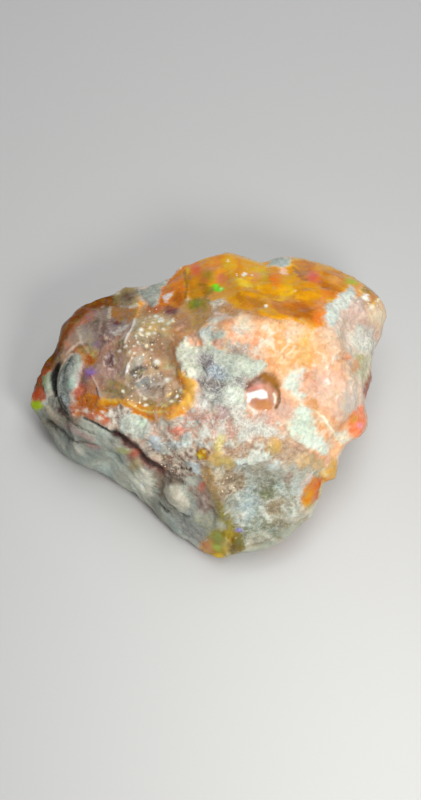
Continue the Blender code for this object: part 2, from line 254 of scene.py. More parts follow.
def relief(a, b):
    flat = np.column_stack([a, b, np.zeros(len(a))])
    astray = a + EDGE_WANDER * (grain(flat, 4.0) + 0.5 * grain(flat + 40.0, 1.9))
    bstray = b + EDGE_WANDER * (grain(flat + 60.0, 4.0) + 0.5 * grain(flat + 80.0, 1.9))
    height = None
    for c, ca, cb in FACET_PLANES:
        facet = c + ca * astray + cb * bstray
        height = facet if height is None else soft_min(height, facet, EDGE_SOFTNESS)
    for ca, cb, along, across, turn, depth in CHIPS:
        co, si = math.cos(math.radians(turn)), math.sin(math.radians(turn))
        x, y = a - ca, b - cb
        t = np.hypot((x * co + y * si) / along, (y * co - x * si) / across)
        height = height - depth * bell(t)
    return height


def to_model(p):
    u, v, w = p[:, 0], p[:, 1], p[:, 2]
    return np.column_stack([u, v * SIN_E - w * COS_E, SEAT_HEIGHT + v * COS_E + w * SIN_E])


def lean_walls():
    pts = []
    for a, b, z in RIM:
        w = reach_at_height(b, z)
        taper = (EYE - w) / EYE
        pts.append((a * taper, b * taper, w))
    rim = to_model(np.array(pts))
    rim[:, 0] -= FOOT_CENTRE[0]
    rim[:, 1] -= FOOT_CENTRE[1]
    walls, heels = [], []
    for bearing, foot in WALLS:
        co, si = math.cos(math.radians(bearing)), math.sin(math.radians(bearing))
        run = rim[:, 0] * co + rim[:, 1] * si
        walls.append((co, si, foot, float(((run + 0.2 - foot) / rim[:, 2]).max())))
    for bearing, start, slope in HEELS:
        co, si = math.cos(math.radians(bearing)), math.sin(math.radians(bearing))
        run = rim[:, 0] * co + rim[:, 1] * si
        beyond = run > start + 2.0
        limit = (rim[beyond, 2] * 0.7 / (run[beyond] - start)).min()
        heels.append((co, si, start, min(slope, float(limit))))
    return walls, heels


LEANING_WALLS, LEANING_HEELS = lean_walls()


def outside(p):
    u, v, w = p[:, 0], p[:, 1], p[:, 2]
    sight = EYE / (EYE - w)
    a, b = u * sight, v * sight
    bearing = np.arctan2(b, a)
    radius = np.interp(bearing, RIM_BEARING, RIM_RADIUS)
    inset = (radius - np.hypot(a, b)) * np.interp(bearing, RIM_BEARING, RIM_LEAN)
    reach = np.interp(bearing, RIM_BEARING, RIM_REACH)
    depth = np.maximum(inset, 0.0)
    shell = (w - soft_max(relief(a, b), reach + 0.3 * depth, 0.5)) * 0.8
    brow = (w - reach) - 2.4 * np.sqrt(depth * (depth + 0.8))
    shell = soft_max(shell, brow * 0.45, 0.4)
    chin = (reach - w) - 2.6 * np.sqrt(depth * (depth + 0.8))
    shell = soft_max(shell, chin * 0.45, 0.4)
    shell = soft_max(shell, -inset, 0.4)
    x, y, z = to_model(p).T
    x, y = x - FOOT_CENTRE[0], y - FOOT_CENTRE[1]
    for co, si, foot, lean in LEANING_WALLS:
        shell = soft_max(shell, (x * co + y * si - foot - lean * z) / math.hypot(1.0, lean), 0.5)
    for co, si, start, slope in LEANING_HEELS:
        shell = soft_max(shell, (slope * (x * co + y * si - start) - z) / math.hypot(1.0, slope),
                         0.4)
    return shell


SEAT = np.array([0.5, -0.8, 1.6])


def skin(directions):
    count = len(directions)
    low, high = np.zeros(count), np.full(count, 30.0)
    todo = np.arange(count)
    for i in range(1, 51):
        out = outside(SEAT + directions[todo] * (i * 0.6)) > 0.0
        high[todo[out]] = i * 0.6
        low[todo[~out]] = i * 0.6
        todo = todo[~out]
        if not len(todo):
            break
    for _ in range(12):
        middle = 0.5 * (low + high)
        out = outside(SEAT + directions * middle[:, None]) > 0.0
        high = np.where(out, middle, high)
        low = np.where(out, low, middle)
    return SEAT + directions * (0.5 * (low + high))[:, None]


def ball(n, pull):
    """Unit directions and quads of a cube blown up to a ball, finer towards +w."""
    axis = np.tan((np.linspace(0, n, n + 1) / n * 2 - 1) * math.pi / 4)
    keys, quads, rays = {}, [], []
    grids = []
    for fixed in range(3):
        for side in (0, n):
            i, j = np.meshgrid(np.arange(n + 1), np.arange(n + 1), indexing="ij")
            trio = [None, None, None]
            trio[fixed] = np.full_like(i, side)
            trio[(fixed + 1) % 3] = i
            trio[(fixed + 2) % 3] = j
            grids.append((np.stack(trio, -1), side))
    flat = np.concatenate([g.reshape(-1, 3) for g, _ in grids])
    code = (flat[:, 0] * (n + 1) + flat[:, 1]) * (n + 1) + flat[:, 2]
    unique, first, back = np.unique(code, return_index=True, return_inverse=True)
    back = back.reshape(-1)
    corner = flat[first]
    rays = np.stack([axis[corner[:, k]] for k in range(3)], -1)
    rays /= np.linalg.norm(rays, axis=1)[:, None]
    start = 0
    for g, side in grids:
        ids = back[start:start + (n + 1) ** 2].reshape(n + 1, n + 1)
        start += (n + 1) ** 2
        q = np.stack([ids[:-1, :-1], ids[1:, :-1], ids[1:, 1:], ids[:-1, 1:]], -1).reshape(-1, 4)
        quads.append(q if side else q[:, ::-1])
    quads = np.concatenate(quads)
    s = pull * rays[:, :2] / (1.0 + rays[:, 2:3] + 1e-9)
    low = rays[:, 2] < -0.999999
    r2 = (s ** 2).sum(axis=1)
    bent = np.column_stack([2 * s[:, 0] / (1 + r2), 2 * s[:, 1] / (1 + r2), (1 - r2) / (1 + r2)])
    bent[low] = (0.0, 0.0, -1.0)
    return bent, quads


def normals_of(points, quads):
    a, b, c, d = (points[quads[:, i]] for i in range(4))
    n = np.cross(c - a, d - b)
    total = np.zeros_like(points)
    for i in range(4):
        np.add.at(total, quads[:, i], n)
    return total / (np.linalg.norm(total, axis=1)[:, None] + 1e-12)


def wear_down(points, pairs, times, amount):
    """Every point slides towards the middle of its neighbours."""
    count_ = np.bincount(pairs.ravel(), minlength=len(points)).astype(float)
    for _ in range(times):
        total = np.stack([np.bincount(pairs[:, 0], points[pairs[:, 1], k], len(points))
                          + np.bincount(pairs[:, 1], points[pairs[:, 0], k], len(points))
                          for k in range(3)], -1)
        points = points + amount * (total / count_[:, None] - points)
    return points


def evened(rays):
    """The same rays, shifted so that the steps between them over the stone come out about
    equal, three times closer on the display side than underneath."""
    turns, falls = 240, 121
    turn = np.linspace(-math.pi, math.pi, turns, endpoint=False)
    fall = np.linspace(0.0, math.pi, falls)
    t, f = np.meshgrid(turn, fall, indexing="ij")
    at = skin(np.stack([np.sin(f) * np.cos(t), np.sin(f) * np.sin(t), np.cos(f)], -1)
              .reshape(-1, 3))
    sight = EYE / (EYE - at[:, 2])
    bearing = np.arctan2(at[:, 1] * sight, at[:, 0] * sight)
    weight = 0.3 + 0.7 * rise(at[:, 2] - np.interp(bearing, RIM_BEARING, RIM_REACH), -2.4, -0.4)
    grid, weight = at.reshape(turns, falls, 3), weight.reshape(turns, falls)
    beside = np.roll(grid, -1, axis=0)
    spread = np.cross(beside[:, 1:] - grid[:, :-1], grid[:, 1:] - beside[:, :-1])
    cell = 0.3 * np.linalg.norm(spread, axis=2) + 0.7 * np.abs(spread[:, :, 2])
    cell = cell * (weight[:, 1:] + weight[:, :-1])
    window = np.hanning(15)
    window /= window.sum()
    cell = sum(w * np.roll(cell, i - 7, axis=0) for i, w in enumerate(window))
    wedge = np.concatenate([[0.0], np.cumsum(cell.sum(axis=1))])
    edge_turn = np.append(turn, math.pi)
    new_turn = np.interp(np.arctan2(rays[:, 1], rays[:, 0]),
                         wedge / wedge[-1] * 2 * math.pi - math.pi, edge_turn)
    down = np.cumsum(cell, axis=1)
    down = np.concatenate([np.zeros((turns, 1)), down], axis=1) / down[:, -1:]
    steps = 361
    wanted = 0.5 - 0.5 * np.cos(np.linspace(0.0, math.pi, steps))
    table = np.stack([np.interp(wanted, down[i], fall) for i in range(turns)])
    row = (new_turn + math.pi) / (2 * math.pi) * turns - 0.5
    col = np.arccos(np.clip(rays[:, 2], -1.0, 1.0)) / math.pi * (steps - 1)
    r0, c0 = np.floor(row).astype(int), np.minimum(np.floor(col).astype(int), steps - 2)
    fr, fc = row - r0, col - c0
    new_fall = ((1 - fr) * ((1 - fc) * table[r0 % turns, c0] + fc * table[r0 % turns, c0 + 1])
                + fr * ((1 - fc) * table[(r0 + 1) % turns, c0]
                        + fc * table[(r0 + 1) % turns, c0 + 1]))
    return np.column_stack([np.sin(new_fall) * np.cos(new_turn),
                            np.sin(new_fall) * np.sin(new_turn), np.cos(new_fall)])


rays, quads = ball(FINE, 1.0)
rays = evened(rays)
edges = np.concatenate([quads[:, [0, 1]], quads[:, [1, 2]], quads[:, [2, 3]], quads[:, [3, 0]]])
edges = np.unique(np.sort(edges, axis=1), axis=0)
P = skin(rays)

# swell and chips of the solid
sight = EYE / (EYE - P[:, 2])
A, B = P[:, 0] * sight, P[:, 1] * sight
bearing = np.arctan2(B, A)
inset = np.interp(bearing, RIM_BEARING, RIM_RADIUS) - np.hypot(A, B)
REACH = np.interp(bearing, RIM_BEARING, RIM_REACH)
glassy = np.maximum(bell(np.hypot((A + 10.0) / 9.0, (B - 5.0) / 7.5)),
                    bell(np.hypot((A - 6.0) / 12.0, (B - 13.0) / 4.5)))
rough_zone = (1.0 - 0.75 * glassy) * np.clip(0.3 + inset / 2.0, 0.3, 1.0)
swell = 0.30 * grain(P, 4.3) + 0.16 * grain(P + 31.0, 2.1) + 0.08 * grain(P + 77.0, 1.05)
swell = swell + 0.9 * (chipping(P, 5.2) - 0.25) + 0.4 * (chipping(P + 9.0, 2.4) - 0.25)
swell = swell * rough_zone
below = np.clip((REACH - P[:, 2]) / 2.5, 0.0, 1.0)
swell = swell + below * 1.5 * (chipping(P + 3.0, 7.5) - 0.3)
P = P + rays * swell[:, None]
P = wear_down(P, edges, 3, 0.4)
MIDDLE = 0.5 * (to_model(P).min(axis=0) + to_model(P).max(axis=0))
FRONT = rise(P[:, 2] - REACH, -1.7, -0.5)
sight = EYE / (EYE - P[:, 2])
X = CX + P[:, 0] * sight / STEP
Y = CY - P[:, 1] * sight / STEP
ND = normals_of(wear_down(P, edges, 40, 0.5), quads)
print("coarse shape done", len(P), "points")

# =====================================================================================
# 4. Marks: soft-edged shapes laid over the display side, their edges frayed by noise
# =====================================================================================
FRAY1 = np.column_stack([grain(P + 5.0, 1.1), grain(P + 25.0, 1.1)])
FRAY2 = np.column_stack([grain(P + 45.0, 0.45), grain(P + 65.0, 0.45)])
FRAY3 = np.column_stack([grain(P + 85.0, 0.2), grain(P + 105.0, 0.2)])


def frayed(amount):
    x = X + amount * (2.4 * FRAY1[:, 0] + 1.5 * FRAY2[:, 0] + 1.5 * FRAY3[:, 0])
    y = Y + amount * (2.4 * FRAY1[:, 1] + 1.5 * FRAY2[:, 1] + 1.5 * FRAY3[:, 1])
    return x, y


def spot(cx, cy, rx, ry=None, turn=0.0, soft=0.25, fray=0.6):
    """An ellipse about (cx, cy); turn is counter-clockwise, in degrees."""
    ry = rx if ry is None else ry
    x, y = frayed(fray)
    co, si = math.cos(math.radians(turn)), math.sin(math.radians(turn))
    dx, dy = x - cx, cy - y
    r = np.hypot((dx * co + dy * si) / rx, (dy * co - dx * si) / ry)
    return (1.0 - rise(r, 1.0 - soft, 1.0 + soft)) * FRONT


def gap_to(path, x, y):
    best = np.full(len(x), 1e9)
    for (x0, y0), (x1, y1) in zip(path[:-1], path[1:]):
        dx, dy = x1 - x0, y1 - y0
        t = np.clip(((x - x0) * dx + (y - y0) * dy) / (dx * dx + dy * dy), 0.0, 1.0)
        best = np.minimum(best, np.hypot(x - x0 - t * dx, y - y0 - t * dy))
    return best


def line(path, half, soft=1.0, fray=0.4):
    x, y = frayed(fray)
    return (1.0 - rise(gap_to(path, x, y), max(half - soft, 0.0), half + soft)) * FRONT


def area(path, soft=1.2, fray=0.7):
    """A closed outline; 1 inside it."""
    x, y = frayed(fray)
    ring = list(path) + [path[0]]
    inside = np.zeros(len(x), bool)
    for (x0, y0), (x1, y1) in zip(ring[:-1], ring[1:]):
        if y0 == y1:
            continue
        crosses = ((y0 > y) != (y1 > y)) & (x < (x1 - x0) * (y - y0) / (y1 - y0) + x0)
        inside ^= crosses
    d = gap_to(ring, x, y)
    return rise(np.where(inside, d, -d), -soft, soft) * FRONT


def any_of(*masks):
    out = masks[0]
    for m in masks[1:]:
        out = np.maximum(out, m)
    return out


count = len(P)
tint = np.zeros((count, 3))
rough = np.full(count, 0.8)
clear = np.zeros(count)
rind = np.ones(count)              # how chalky, 0 to 1
lift = np.zeros(count)             # mm along the normal
curl = np.zeros(count)             # pale threads curling over the rind
grit = np.zeros(count)             # sand-sized grains
# where tiny glints are painted as highlights on clear opal
painted_glint = np.zeros(count)            # tiny glints on clear opal


def lay(mask, colour=None, rough_=None, clear_=None, rind_=None, lift_=None, curl_=None,
        grit_=None, painted_glint_=None):
    global tint, rough, clear, rind, lift, curl, grit, painted_glint
    if colour is not None:
        colour = np.asarray(colour)
        tint = tint * (1 - mask[:, None]) + colour * mask[:, None]
    if rough_ is not None:
        rough = rough * (1 - mask) + rough_ * mask
    if clear_ is not None:
        clear = clear * (1 - mask) + clear_ * mask
    if rind_ is not None:
        rind = rind * (1 - mask) + rind_ * mask
    if lift_ is not None:
        lift = lift + lift_ * mask
    if curl_ is not None:
        curl = curl * (1 - mask) + curl_ * mask
    if grit_ is not None:
        grit = grit * (1 - mask) + grit_ * mask
    if painted_glint_ is not None:
        painted_glint = painted_glint * (1 - mask) + painted_glint_ * mask


def tone(mask, r, g, b):
    """Darkens or lightens the paint underneath, channel by channel: painted light and shade, and
    shifts of tone.
    """
    global tint
    tint = tint * (1 + mask[:, None] * (np.array([r, g, b]) - 1.0))


def mix(c0, c1, t):
    t = np.clip(t, 0.0, 1.0)[:, None]
    return np.asarray(c0) * (1 - t) + np.asarray(c1) * t


# palette
MINT = srgb(232, 240, 219)
PALE = srgb(222, 222, 205)
CHALK = srgb(196, 203, 194)
BLUISH = srgb(186, 197, 206)
GREY = srgb(160, 163, 152)
DARK_SPECK = srgb(120, 118, 110)
CREAM = srgb(250, 232, 200)
PEACH = srgb(243, 196, 146)
PEACH_ORANGE = srgb(246, 168, 98)
PEACH_PINK = srgb(232, 176, 146)
PINK_TAN = srgb(208, 176, 160)
ROSE_BROWN = srgb(166, 122, 104)
AMBER = srgb(222, 142, 26)
AMBER_DEEP = srgb(186, 104, 10)
HONEY = srgb(240, 178, 66)
ORANGE = srgb(238, 140, 50)
RED_ORANGE = srgb(228, 88, 40)
OLIVE = srgb(140, 138, 84)
OLIVE_TAN = srgb(168, 146, 96)
WALL_GREY = srgb(164, 166, 154)
WALL_PALE = srgb(206, 205, 188)
BROWN = srgb(112, 78, 60)
BROWN_DARK = srgb(62, 40, 32)

n_big = fbm(P, 7.0, 200.0)
n_mid = fbm(P, 2.6, 230.0)
n_small = fbm(P, 1.0, 260.0)
n_tiny = fbm(P, 0.42, 290.0, 3)
ALONG = np.array([0.66, -0.70, -0.27])
STRETCHED = P - 0.78 * (P @ ALONG)[:, None] * ALONG
n_streak = fbm(STRETCHED, 0.75, 320.0, 3)
n_long = fbm(STRETCHED, 1.8, 350.0, 2)

# ---- more colours
MAUVE_GREY = srgb(172, 152, 142)
MAUVE_PINK = srgb(190, 150, 128)
HAZE = srgb(212, 203, 188)
CLEAR_TAN = srgb(204, 176, 142)
VIOLET = srgb(118, 86, 196)
PLUM = srgb(136, 78, 96)
CORAL = srgb(243, 110, 70)
RED = srgb(226, 62, 38)
GOLD = srgb(236, 162, 38)
YELLOW = srgb(248, 206, 70)
LIME = srgb(170, 196, 34)
GREEN = srgb(64, 224, 40)
SMOKE = srgb(96, 88, 80)
WHITE = srgb(252, 248, 236)
BLACK = srgb(30, 28, 26)
TAN = srgb(206, 164, 112)
KNOB = srgb(232, 204, 170)

# ---- the hidden sides: rind over amber and peach opal, showing through in broken patches
lay(np.ones(count), mix(mix(WALL_GREY, WALL_PALE, 0.5 + 0.9 * n_mid), OLIVE_TAN,
                        rise(n_big, 0.1, 0.7) * 0.6), curl_=0.35, grit_=0.4)
lay(rise(n_streak, 0.1, 0.6) * 0.5, srgb(206, 196, 176))
lay(rise(n_mid - 0.4 * n_big, 0.35, 0.75) * 0.8, mix(MINT, CHALK, 0.5 + n_tiny), lift_=0.08,
    curl_=0.6)
peach_back = rise(-n_big + 0.35 * n_mid, 0.14, 0.42)
lay(peach_back, mix(PEACH_PINK, PEACH_ORANGE, 0.5 + n_mid), rough_=0.42, clear_=0.12,
    rind_=0.25, grit_=0.7)
edge_back = rise(n_big + 0.35 * n_mid + 0.12 * n_small, 0.14, 0.26)
lay(edge_back, mix(srgb(150, 92, 48), srgb(196, 150, 104), 0.5 + n_small), rough_=0.4,
    rind_=0.3)
window_back = rise(n_big + 0.35 * n_mid + 0.12 * n_small, 0.22, 0.34)
lay(window_back, mix(mix(srgb(246, 166, 40), ORANGE, 0.5 + n_mid), srgb(206, 104, 24),
                     rise(n_small, 0.1, 0.6)), rough_=0.12, clear_=0.4, rind_=0.0,
    lift_=-0.16)

# ---- the display side
lay(FRONT, mix(srgb(222, 190, 168), PALE, 0.45 + 0.9 * n_small), rough_=0.55, clear_=0.05,
    rind_=0.5)

# peach granular face
peach = area([(196, 334), (214, 326), (238, 312), (262, 318), (298, 324), (322, 324), (344, 330),
              (362, 344), (368, 366), (366, 400), (368, 424), (358, 438), (340, 446),
              (334, 470), (320, 474), (306, 462), (284, 452), (264, 446), (240, 430),
              (232, 412), (246, 402), (246, 384), (266, 374), (244, 358), (214, 350)],
             soft=5.0, fray=1.5)
n_swirl = grain(P + 171.0, 0.8) + 0.6 * grain(P + 181.0, 0.38)
peach_mix = mix(srgb(236, 174, 124), srgb(242, 188, 138), 0.5 + 1.0 * n_small)
peach_mix = mix(peach_mix, srgb(224, 170, 146), rise(n_mid, 0.0, 0.7) * 0.7)
peach_mix = mix(peach_mix, srgb(238, 150, 84), rise(-n_small - 0.4 * n_mid, 0.15, 0.8) * 0.7)
peach_mix = mix(peach_mix, srgb(250, 222, 194), rise(n_swirl, 0.25, 0.75) * 0.75)
lay(peach, peach_mix, rough_=0.38, clear_=0.10, rind_=0.22, grit_=0.4, curl_=0.2)
lay(spot(298, 344, 27, 17, -4, soft=0.8, fray=1.5),
    mix(srgb(246, 170, 84), srgb(250, 198, 130), rise(n_tiny, -0.2, 0.6)), rough_=0.32)
lay(spot(334, 342, 14, 13, 20, soft=0.9, fray=1.5),
    mix(srgb(226, 194, 166), srgb(240, 206, 172), 0.5 + n_tiny), rough_=0.4, curl_=0.5)
lay(spot(322, 326, 14, 5, 8, soft=0.9, fray=1.4),
    mix(srgb(236, 196, 158), srgb(226, 178, 138), 0.5 + n_tiny), rough_=0.4)
lay(spot(268, 328, 15, 6, 14, soft=0.9, fray=1.4),
    mix(srgb(246, 176, 106), srgb(250, 206, 156), 0.5 + n_tiny), rough_=0.36)
lay(spot(250, 340, 20, 8, -12, soft=0.7, fray=1.4),
    mix(srgb(248, 164, 110), srgb(250, 200, 160), rise(n_tiny, -0.2, 0.6)), rough_=0.36)
lay(spot(300, 360, 20, 9, 10, soft=0.8, fray=1.4),
    mix(srgb(244, 178, 100), srgb(248, 200, 148), 0.5 + n_tiny), rough_=0.36)
# scratches and pale veins on the peach face
for path in ([(281, 353), (288, 346)], [(287, 355), (294, 348)], [(293, 357), (300, 349)],
             [(271, 344), (277, 351), (284, 361)], [(306, 336), (314, 331)],
             [(318, 352), (326, 361), (329, 372)], [(333, 360), (341, 352)],
             [(262, 338), (268, 346)]):
    lay(line(path, 0.9, soft=0.9, fray=0.9), srgb(250, 226, 196), lift_=0.04)

# mauve-pink ground with white dabs, below the rind plate
rose = area([(178, 404), (206, 408), (226, 418), (246, 412), (262, 414), (284, 424), (286, 444),
             (270, 456), (236, 454), (210, 452), (190, 450), (168, 444), (146, 432),
             (150, 416)], soft=5.0, fray=1.5)
rose_mix = mix(srgb(196, 156, 134), srgb(208, 174, 154), 0.5 + n_small)
rose_mix = mix(rose_mix, srgb(206, 158, 142), rise(n_mid, 0.0, 0.6) * 0.6)
rose_mix = mix(rose_mix, srgb(198, 160, 120), rise(Y, 432.0, 452.0) * 0.7)
rose_mix = mix(rose_mix, srgb(222, 214, 198), rise(n_tiny + 0.3 * n_small, 0.1, 0.6) * 0.8)
lay(rose, rose_mix, rough_=0.5, clear_=0.04, rind_=0.5, curl_=0.5, grit_=0.35)
lay(spot(227, 415, 11, 6, 15, soft=0.9, fray=1.2), srgb(184, 156, 150), rough_=0.5)
lay(spot(272, 418, 11, 5, 0, soft=0.9, fray=1.2), srgb(222, 174, 150), rough_=0.45)
lay(spot(203, 418, 13, 6, 0, soft=0.9, fray=1.3), srgb(204, 166, 150), rough_=0.45)
lay(spot(278, 438, 10, 8, 0, soft=0.9, fray=1.2), srgb(206, 168, 132), rough_=0.45)

# lower facet
low = area([(206, 468), (232, 454), (270, 450), (300, 452), (322, 462), (338, 480), (334, 508),
            (316, 536), (284, 560), (244, 568), (226, 560), (228, 524), (216, 492)],
           soft=5.0, fray=1.5)
low_mix = mix(srgb(158, 148, 120), srgb(176, 178, 162), 0.5 + 1.1 * n_small)
low_mix = mix(low_mix, srgb(206, 212, 200), rise(n_tiny + 0.3 * n_small, 0.2, 0.7) * 0.9)
low_mix = mix(low_mix, srgb(146, 142, 100), rise(n_mid, 0.15, 0.6) * 0.6)
lay(low, low_mix, rough_=0.5, clear_=0.05, rind_=0.6, grit_=0.55, curl_=0.4)
lay(spot(247, 500, 10, 24, 8, soft=0.9, fray=2.0),
    mix(srgb(176, 190, 190), srgb(214, 222, 214), 0.4 + 1.2 * n_tiny))
lay(spot(276, 470, 30, 10, 4, soft=0.8, fray=1.6),
    mix(srgb(176, 178, 166), srgb(200, 192, 170), 0.5 + n_tiny))

# lower left wall: long streaks along it
wall = area([(36, 408), (60, 396), (74, 414), (90, 421), (113, 431), (134, 446), (152, 463),
             (166, 478), (186, 474), (204, 474), (214, 500), (228, 528), (236, 566), (190, 570),
             (120, 500), (60, 470), (30, 430)], soft=1.5, fray=0.7)
wall_mix = mix(srgb(158, 162, 150), srgb(188, 192, 178), 0.5 + 0.9 * n_long)
wall_mix = mix(wall_mix, srgb(170, 182, 172), rise(n_mid, 0.0, 0.6) * 0.6)
wall_mix = mix(wall_mix, srgb(180, 164, 150), rise(n_big, 0.0, 0.6) * 0.4)
wall_mix = mix(wall_mix, srgb(130, 126, 116), rise(-n_long + 0.3 * n_small, 0.3, 0.8) * 0.6)
lay(wall, wall_mix, rough_=0.7, clear_=0.0, rind_=0.5, grit_=0.15, curl_=0.15)

# ---- loose white dabs over the mauve ground and pale grains over the lower facet
f1, f2, lot = chipping.cells(P + 11.0, 1.15)
ragged = 0.30 * FRAY3[:, 0] + 0.22 * FRAY2[:, 1]
dabs = (lot > 0.50) * rise(0.30 + 0.2 * lot - np.sqrt(f1) + ragged, 0.0, 0.20)
lay(np.clip(rose * dabs, 0, 1), mix(srgb(236, 238, 226), CHALK, lot), rough_=0.7, rind_=0.9,
    lift_=0.08)
lay(np.clip(low * dabs * 0.6, 0, 1), mix(srgb(208, 216, 206), srgb(226, 216, 192), lot),
    rough_=0.6, lift_=0.04)
f1s, f2s, lots = chipping.cells(P + 23.0, 0.62)
dabs2 = (lots > 0.55) * rise(0.24 + 0.2 * lots - np.sqrt(f1s) + ragged, 0.0, 0.22)
lay(np.clip(rose * dabs2 * 0.7, 0, 1), srgb(228, 226, 214), rough_=0.7, lift_=0.03)
lay(np.clip(peach * dabs2 * 0.35, 0, 1), srgb(254, 236, 208), rough_=0.35, lift_=0.02)

# ---- clear window: two hollow facets that meet in a ridge
win_left = area([(45, 386), (52, 352), (63, 326), (82, 307), (100, 297), (118, 296), (132, 298),
                 (142, 303), (133, 325), (125, 343), (123, 356), (126, 378), (126, 398),
                 (112, 405), (92, 407), (76, 400), (78, 386), (82, 370), (80, 356), (70, 354),
                 (58, 370)], soft=1.0, fray=0.5)
win_right = area([(142, 303), (158, 310), (176, 312), (190, 318), (192, 332), (184, 344),
                  (174, 352), (180, 362), (190, 376), (194, 392), (186, 408), (170, 418),
                  (150, 416), (134, 411), (124, 402), (126, 378), (123, 356), (125, 343),
                  (133, 325)], soft=1.0, fray=0.5)
window = any_of(win_left, win_right)
win_mix = mix(srgb(196, 166, 150), srgb(222, 170, 136), 0.5 + 1.0 * n_small)
win_mix = mix(win_mix, srgb(218, 202, 188), rise(n_streak, 0.1, 0.7) * 0.5)
win_mix = mix(win_mix, srgb(146, 120, 108), rise(-n_tiny - 0.5 * n_small, 0.1, 0.6) * 0.6)
lay(win_left, win_mix, rough_=0.09, clear_=0.28, rind_=0.0, painted_glint_=0.0, curl_=0.25)
win_mix = mix(srgb(238, 204, 150), srgb(220, 176, 140), 0.5 + 1.0 * n_small)
win_mix = mix(win_mix, srgb(234, 214, 186), rise(n_tiny, 0.1, 0.7) * 0.5)
win_mix = mix(win_mix, srgb(166, 140, 112), rise(-n_tiny - 0.4 * n_small, 0.1, 0.6) * 0.6)
lay(win_right, win_mix, rough_=0.06, clear_=0.28, rind_=0.0, painted_glint_=0.34, curl_=0.4)
lay(area([(86, 312), (104, 304), (120, 308), (122, 326), (112, 344), (98, 350), (86, 340),
          (80, 326)], soft=5.0), mix(srgb(166, 150, 146), srgb(196, 166, 152), 0.4 + n_tiny),
    clear_=0.40)
lay(spot(84, 336, 9, 11, 20, soft=0.9, fray=1.0), srgb(206, 198, 184), clear_=0.3)
# painted highlights: short pale diagonal dashes on the left facet
for path, half in (([(112, 331), (117, 331.5)], 1.1), ([(118, 329), (122, 327), (126, 325)], 1.4),
                   ([(115, 334), (120, 335.5)], 1.0), ([(106, 324), (109, 330)], 1.0),
                   ([(102, 333), (105, 337), (109, 338)], 0.9), ([(112, 341), (117, 343)], 0.9)):
    lay(line(path, half, soft=1.0, fray=0.9), srgb(230, 222, 210), clear_=0.2)
lay(spot(96, 320, 6, 4, 20, soft=0.9, fray=1.0), srgb(138, 130, 116), clear_=0.3)
lay(spot(102, 328, 5.5, 4.5, 0, soft=0.9, fray=1.0), srgb(146, 120, 112), clear_=0.3)
lay(spot(116, 322, 3.4, 2.6, 0, soft=0.9, fray=0.9), srgb(124, 50, 34), clear_=0.3)
for path in ([(104, 342), (110, 340), (114, 336)], [(98, 336), (103, 340)],
             [(117, 348), (121, 343)], [(103, 324), (106, 320)]):
    lay(line(path, 0.8, soft=0.9, fray=1.0), srgb(122, 92, 86), clear_=0.3)
# a pink-ringed hollow in the left facet
ring = np.hypot((X - 110.0) / 1.0, (Y - 362.0) / 1.3) + 4.0 * FRAY1[:, 0] + 2.0 * FRAY2[:, 1]
halo = (1.0 - rise(ring, 9.0, 18.0)) * win_left
lay(halo * 0.7, mix(srgb(196, 146, 126), srgb(222, 176, 154), 0.5 + 0.5 * np.cos(ring * 1.0)),
    clear_=0.36)
lay((1.0 - rise(ring + 3.0 * FRAY2[:, 0], 2.0, 7.0)) * win_left * 0.6, srgb(158, 124, 124))
lay(spot(110.5, 362, 3.4, 5.6, 10, soft=0.9, fray=0.8), srgb(108, 74, 74), clear_=0.3)
# painted highlights: a pink arc above the hollow and pale dashes round it
lay(line([(100, 353), (105, 347), (112, 345.5)], 1.6, soft=1.4, fray=0.8), srgb(222, 160, 138))
for path in ([(105, 358), (108, 355.5)], [(104, 363), (105.5, 367)], [(113.5, 359), (114.5, 364)],
             [(109, 370), (113, 371)]):
    lay(line(path, 0.9, soft=0.9, fray=0.6), srgb(240, 216, 208), clear_=0.1)
# pale lines along fine wrinkles, painted as highlights
wrinkle_highlight = 1.0 - rise(np.abs(grain(P + 191.0, 0.42) + 0.5 * grain(P + 211.0, 0.21)), 0.03, 0.16)
lay(wrinkle_highlight * halo * 0.8, srgb(232, 210, 200))
lay(wrinkle_highlight * win_left * rise(n_small, -0.3, 0.5) * 0.45, srgb(226, 208, 200))
lay(wrinkle_highlight * win_right * rise(-n_small, 0.0, 0.6) * 0.35, srgb(238, 222, 200))
lay(spot(96, 343, 5.0, 4.0, 20, soft=0.9, fray=1.0), srgb(172, 148, 172))
lay(spot(118, 388, 14, 8, 10, soft=0.8, fray=1.2), mix(srgb(176, 156, 92), srgb(216, 180, 120),
                                                      0.5 + n_tiny), clear_=0.42)
lay(spot(152, 388, 20, 13, 0, soft=0.9, fray=1.2),
    mix(srgb(204, 182, 162), srgb(226, 212, 196), 0.3 + n_tiny), clear_=0.42)
lay(spot(150, 405, 20, 7, -8, soft=0.8, fray=1.0), mix(srgb(190, 160, 90), srgb(214, 178, 112),
                                                      0.5 + n_tiny), clear_=0.42)
lay(spot(153, 322, 15, 10, -15, soft=0.9, fray=1.2), mix(srgb(232, 208, 146),
                                                        srgb(212, 178, 128), 0.4 + n_tiny),
    clear_=0.30)
lay(spot(148, 312, 9, 4, 10, soft=0.9, fray=1.0), srgb(196, 146, 92), clear_=0.3)
lay(area([(129, 370), (133, 361), (139, 355), (146, 357), (143, 365), (136, 372), (131, 378)],
         soft=2.0), srgb(206, 198, 178), clear_=0.3)
lay(line([(133, 373), (139, 371), (145, 368)], 2.0, soft=1.8, fray=0.9), srgb(132, 120, 104),
    clear_=0.3)
lay(line([(136, 377), (140, 377.5), (143, 375)], 1.3, soft=1.3, fray=0.7), srgb(120, 108, 96),
    clear_=0.3)
lay(area([(137, 384), (143, 378), (151, 377), (155, 384), (150, 392), (142, 394)], soft=3.4),
    srgb(190, 178, 172), clear_=0.3)
lay(line([(137, 392), (150, 386), (163, 384), (172, 379)], 0.9, soft=0.9), srgb(236, 226, 214))
